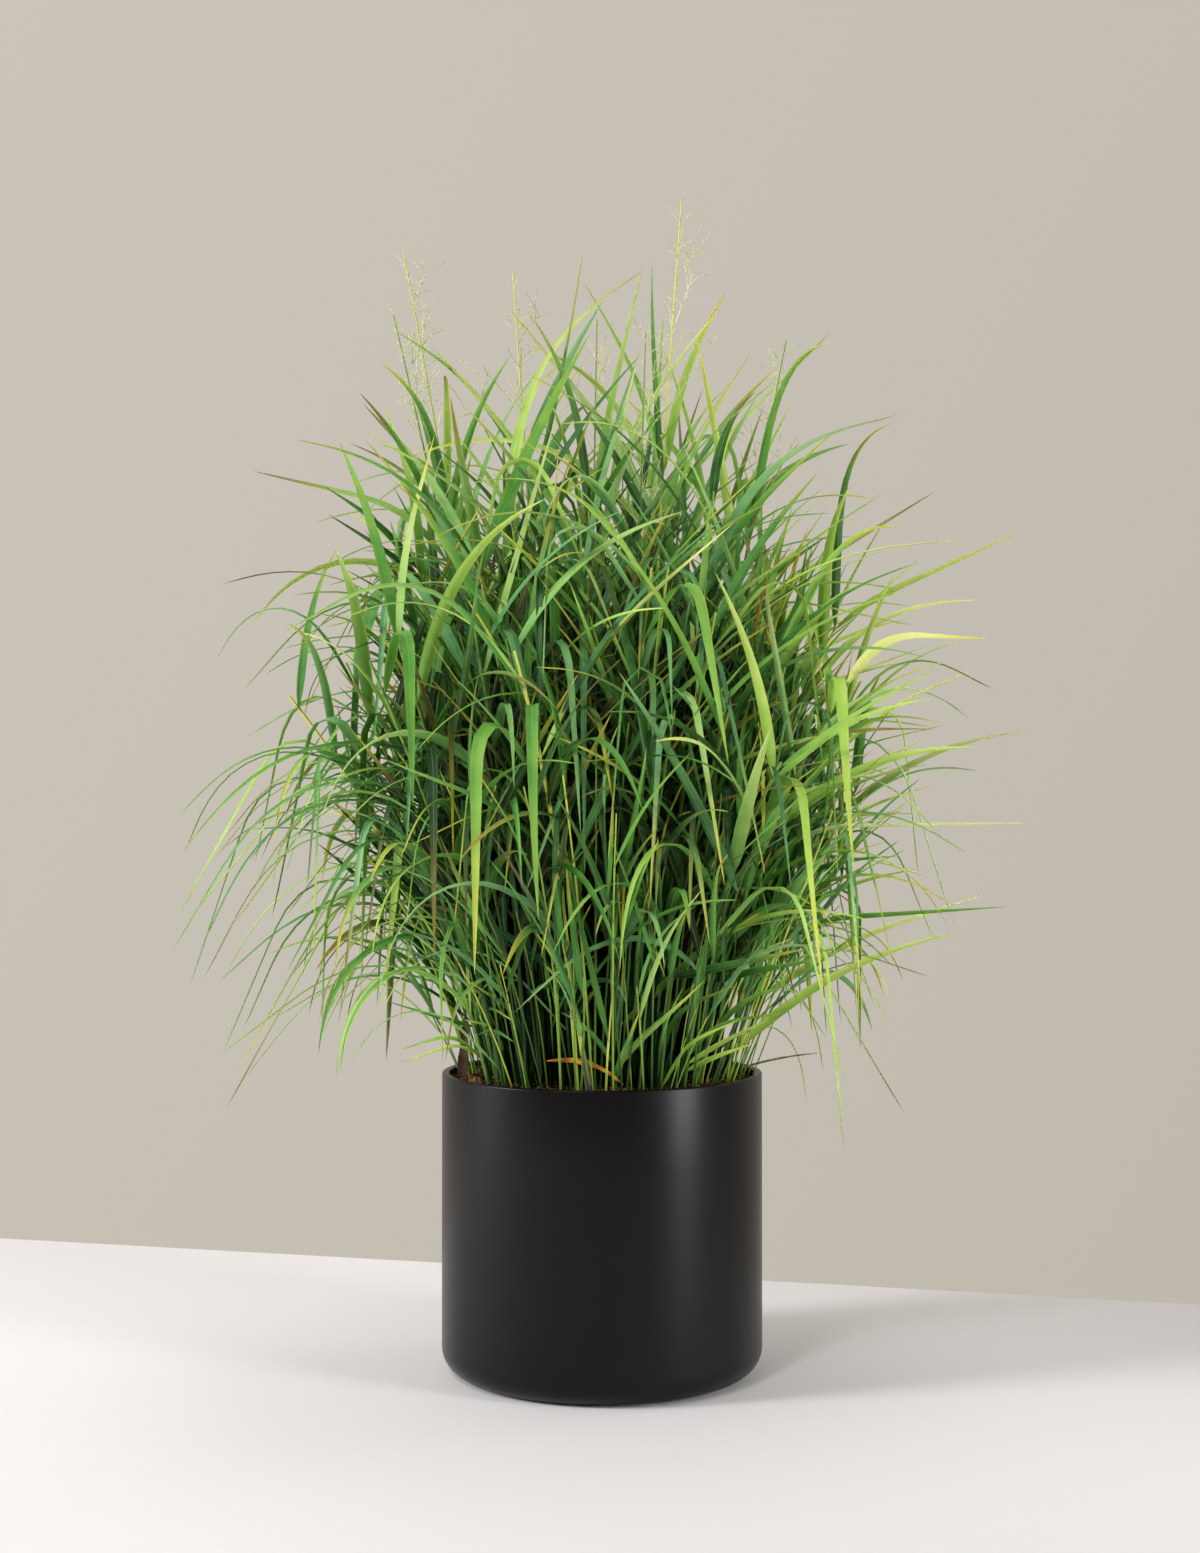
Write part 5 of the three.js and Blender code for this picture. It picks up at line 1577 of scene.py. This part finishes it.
# chips of bark strewn on a surface, turned and sized at random
def makeCrumbTree():
    tree, given = newTree("barkCrumbs", [
        ("Chip one", "Object", None), ("Chip two", "Object", None),
        ("Crumbs per square metre", "Float", 30000.0), ("Smallest", "Float", 0.5),
        ("Largest", "Float", 1.5), ("Seed", "Int", 4), ("Material", "Material", None)])
    seed = given["Seed"]
    onTop = addNode(tree, "GeometryNodeInputNamedAttribute", {"data_type": "FLOAT"}, {0: "strewn"})
    isTop = addNode(tree, "FunctionNodeCompare", greaterThan, {0: onTop.outputs[0], 1: 0.5})
    strewn = addNode(tree, "GeometryNodeDistributePointsOnFaces", inputs={
        0: given["Geometry"], 1: isTop.outputs[0], 4: given["Crumbs per square metre"], 6: seed})
    shade = addNode(tree, "FunctionNodeRandomValue", {"data_type": "FLOAT"}, {2: 0.0, 3: 1.0, 8: seed})
    toned = addNode(tree, "GeometryNodeStoreNamedAttribute", {"data_type": "FLOAT", "domain": "POINT"},
                    {0: strewn.outputs[0], 2: "tone", 3: shade.outputs[1]})
    turn = addNode(tree, "FunctionNodeRandomValue", {"data_type": "FLOAT_VECTOR"},
                   {0: (-0.7, -0.7, 0.0), 1: (0.7, 0.7, 6.28), 8: seed})
    size = addNode(tree, "FunctionNodeRandomValue", {"data_type": "FLOAT"},
                   {2: given["Smallest"], 3: given["Largest"], 8: seed})
    which = addNode(tree, "FunctionNodeRandomValue", {"data_type": "INT"}, {4: 0, 5: 1, 8: seed})
    first, second = [addNode(tree, "GeometryNodeObjectInfo", inputs={0: given[chip], 1: True})
                     for chip in ("Chip one", "Chip two")]
    chips = addNode(tree, "GeometryNodeJoinGeometry", inputs={0: first.outputs[4]})
    tree.links.new(second.outputs[4], chips.inputs[0])
    placed = addNode(tree, "GeometryNodeInstanceOnPoints", inputs={
        0: toned.outputs[0], 2: chips.outputs[0], 3: True, 4: which.outputs[2], 5: turn.outputs[0],
        6: size.outputs[1]})
    endTree(tree, placed.outputs[0], given["Material"])
    return tree


mix = {
    "edgeLevel": 317, "mound": 5, "edge": 166.6, "rings": 60, "sides": 120, "lumps": 1.6,
    "crumbs": 2600, "smallest": 0.5, "largest": 1.5, "seed": 4,
}


def makeSoil():
    m = mix
    reach = np.linspace(1, 0, m["rings"])
    profile = [(0, 13), (80, 13), (m["edge"], 13), (m["edge"], 160), (m["edge"], m["edgeLevel"] - 3)]
    profile += [(m["edge"] * r, m["edgeLevel"] + m["mound"] * math.sin((1 - r) * math.pi / 2)) for r in reach]
    made = lathe("barkMix", profile, m["sides"])
    strewn = np.zeros(len(made.data.vertices))
    for vertex in made.data.vertices:
        out = math.hypot(vertex.co.x, vertex.co.y) * perMetre
        if vertex.co.z * perMetre >= m["edgeLevel"] - 0.5:
            strewn[vertex.index] = 1
            if out < m["edge"] - 1:
                x, y = vertex.co.x * perMetre, vertex.co.y * perMetre
                lump = math.sin(x * 0.31 + 2 * math.sin(y * 0.17))
                lump *= math.cos(y * 0.27 + 1.5 * math.sin(x * 0.21))
                vertex.co.z += m["lumps"] * lump / perMetre
    writeAttribute(made.data, "strewn", strewn)
    writeAttribute(made.data, "tone", np.full(len(strewn), 0.3))
    chips = [makeChip("chipOne", 0.35), makeChip("chipTwo", 0.5)]
    area = math.pi * (m["edge"] / perMetre) ** 2
    crumbs = runTree(made, makeCrumbTree(), {
        "Chip one": chips[0], "Chip two": chips[1], "Crumbs per square metre": m["crumbs"] / area,
        "Smallest": m["smallest"], "Largest": m["largest"], "Seed": m["seed"], "Material": barkMaterial})
    made.data.materials.append(barkMaterial)
    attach(made, "root")
    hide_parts("soil")
    heap = joinedPiece("barkCrumbs", [crumbs])
    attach(heap, "root")
    for chip in chips:
        bpy.data.objects.remove(chip)


makeSoil()
print("potting mix strewn")


# a dead sheath or leaf: papery, brown to orange, with darker veins
def makeDeadMaterial(name, stops):
    material, tree, shader, noise, tint, bump = makeMottled(name, 90.0, 4.0, stops, 0.4, 0.0004, 0.7)
    side = addNode(tree, "ShaderNodeAttribute", {"attribute_name": "side"})
    ribs = addNode(tree, "ShaderNodeMath", multiply, {0: side.outputs["Fac"], 1: 22.0})
    wave = addNode(tree, "ShaderNodeMath", {"operation": "COSINE"}, {0: ribs.outputs[0]})
    ribbed = addNode(tree, "ShaderNodeMath", multiplyAdd, {0: wave.outputs[0], 1: 0.12, 2: 0.94})
    shaded = addNode(tree, "ShaderNodeMix", multiplyColours,
                     {0: 1.0, 6: tint.outputs[0], 7: ribbed.outputs[0]})
    setInputs(tree, bump, {"Height": wave.outputs[0]})
    setInputs(tree, shader, {"Base Color": shaded.outputs[2]})
    return material


deadStops = {
    "brown": [(0.3, "#3a241b"), (0.5, "#5d4032"), (0.7, "#84604a")],
    "orange": [(0.35, "#a0521c"), (0.48, "#dc862c"), (0.62, "#f0c544")],
    "straw": [(0.35, "#7d6a45"), (0.6, "#b3a06c")],
    "purple": [(0.3, "#28141b"), (0.5, "#4d2c33"), (0.7, "#7a5750")],
}

# root, azimuth, rise, fall, veer, bend, length, half width, roll, twist
deadLeaves = {
    "deadSheath": ("brown", (-153, -22, 297), 0.0, 3, 3, 0, 92.5, 6.6, 1.45, 0.25),
    "fallenLeaf": ("orange", (-57, -151, 353), 0.1, 86, 130, 0.1, 88, 4.6, 0.8, 0.0),
    "purpleSheath": ("purple", (-12, -157, 318), 3.1, 6, 14, 0.1, 62, 3.2, 1.4, 0.3),
    "dryBlade": ("straw", (150, -40, 333), -0.12, 74, 84, 0.1, 86, 1.7, 0.4, 0.8),
}


def makeDeadLeaf(name, looks, root, azimuth, rise, fall, veer, length, halfWidth, roll, twist):
    shape = {
        "root": np.array(root, float), "azimuth": azimuth, "rise": rise * degree, "fall": fall * degree,
        "veer": veer, "bend": (0, 1), "length": length, "roll": roll, "twist": twist,
    }
    shares = np.linspace(0, 1, 26)
    ahead, wideWay, deepWay = rolled(shape, shares)
    size = np.minimum(1, 1.25 * np.maximum(0, 1 - shares) ** 0.5) * (0.9 + 0.1 * np.sin(shares * 17))
    if looks == "orange":  # a torn-off leaf is pointed at both ends
        size = size * np.minimum(1, 0.12 + 2.6 * shares)
    rails = newRails()
    addRail(rails, "blade", pointAt(strandPath(shape), shares), wideWay * (halfWidth * size)[:, None],
            -deepWay * (1.6 * (0.3 + size))[:, None] * (shares < 1)[:, None], ahead)
    base = railObject(name + "Rails", rails)
    material = makeDeadMaterial(name + "Papery", deadStops[looks])
    mesh = runTree(base, sweepTree, {
        "Kind": kinds["blade"], "Profile": profiles["blade"], "Material": material})
    bpy.data.objects.remove(base)
    piece = joinedPiece(name, [mesh])
    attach(piece, "root")
    return piece


for name, values in deadLeaves.items():
    piece = makeDeadLeaf(name, *values)
    if name == "deadSheath":
        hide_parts("dried_sheath")
print("dead leaves laid")

for profile in [*profiles.values(), husk]:
    bpy.data.objects.remove(profile)
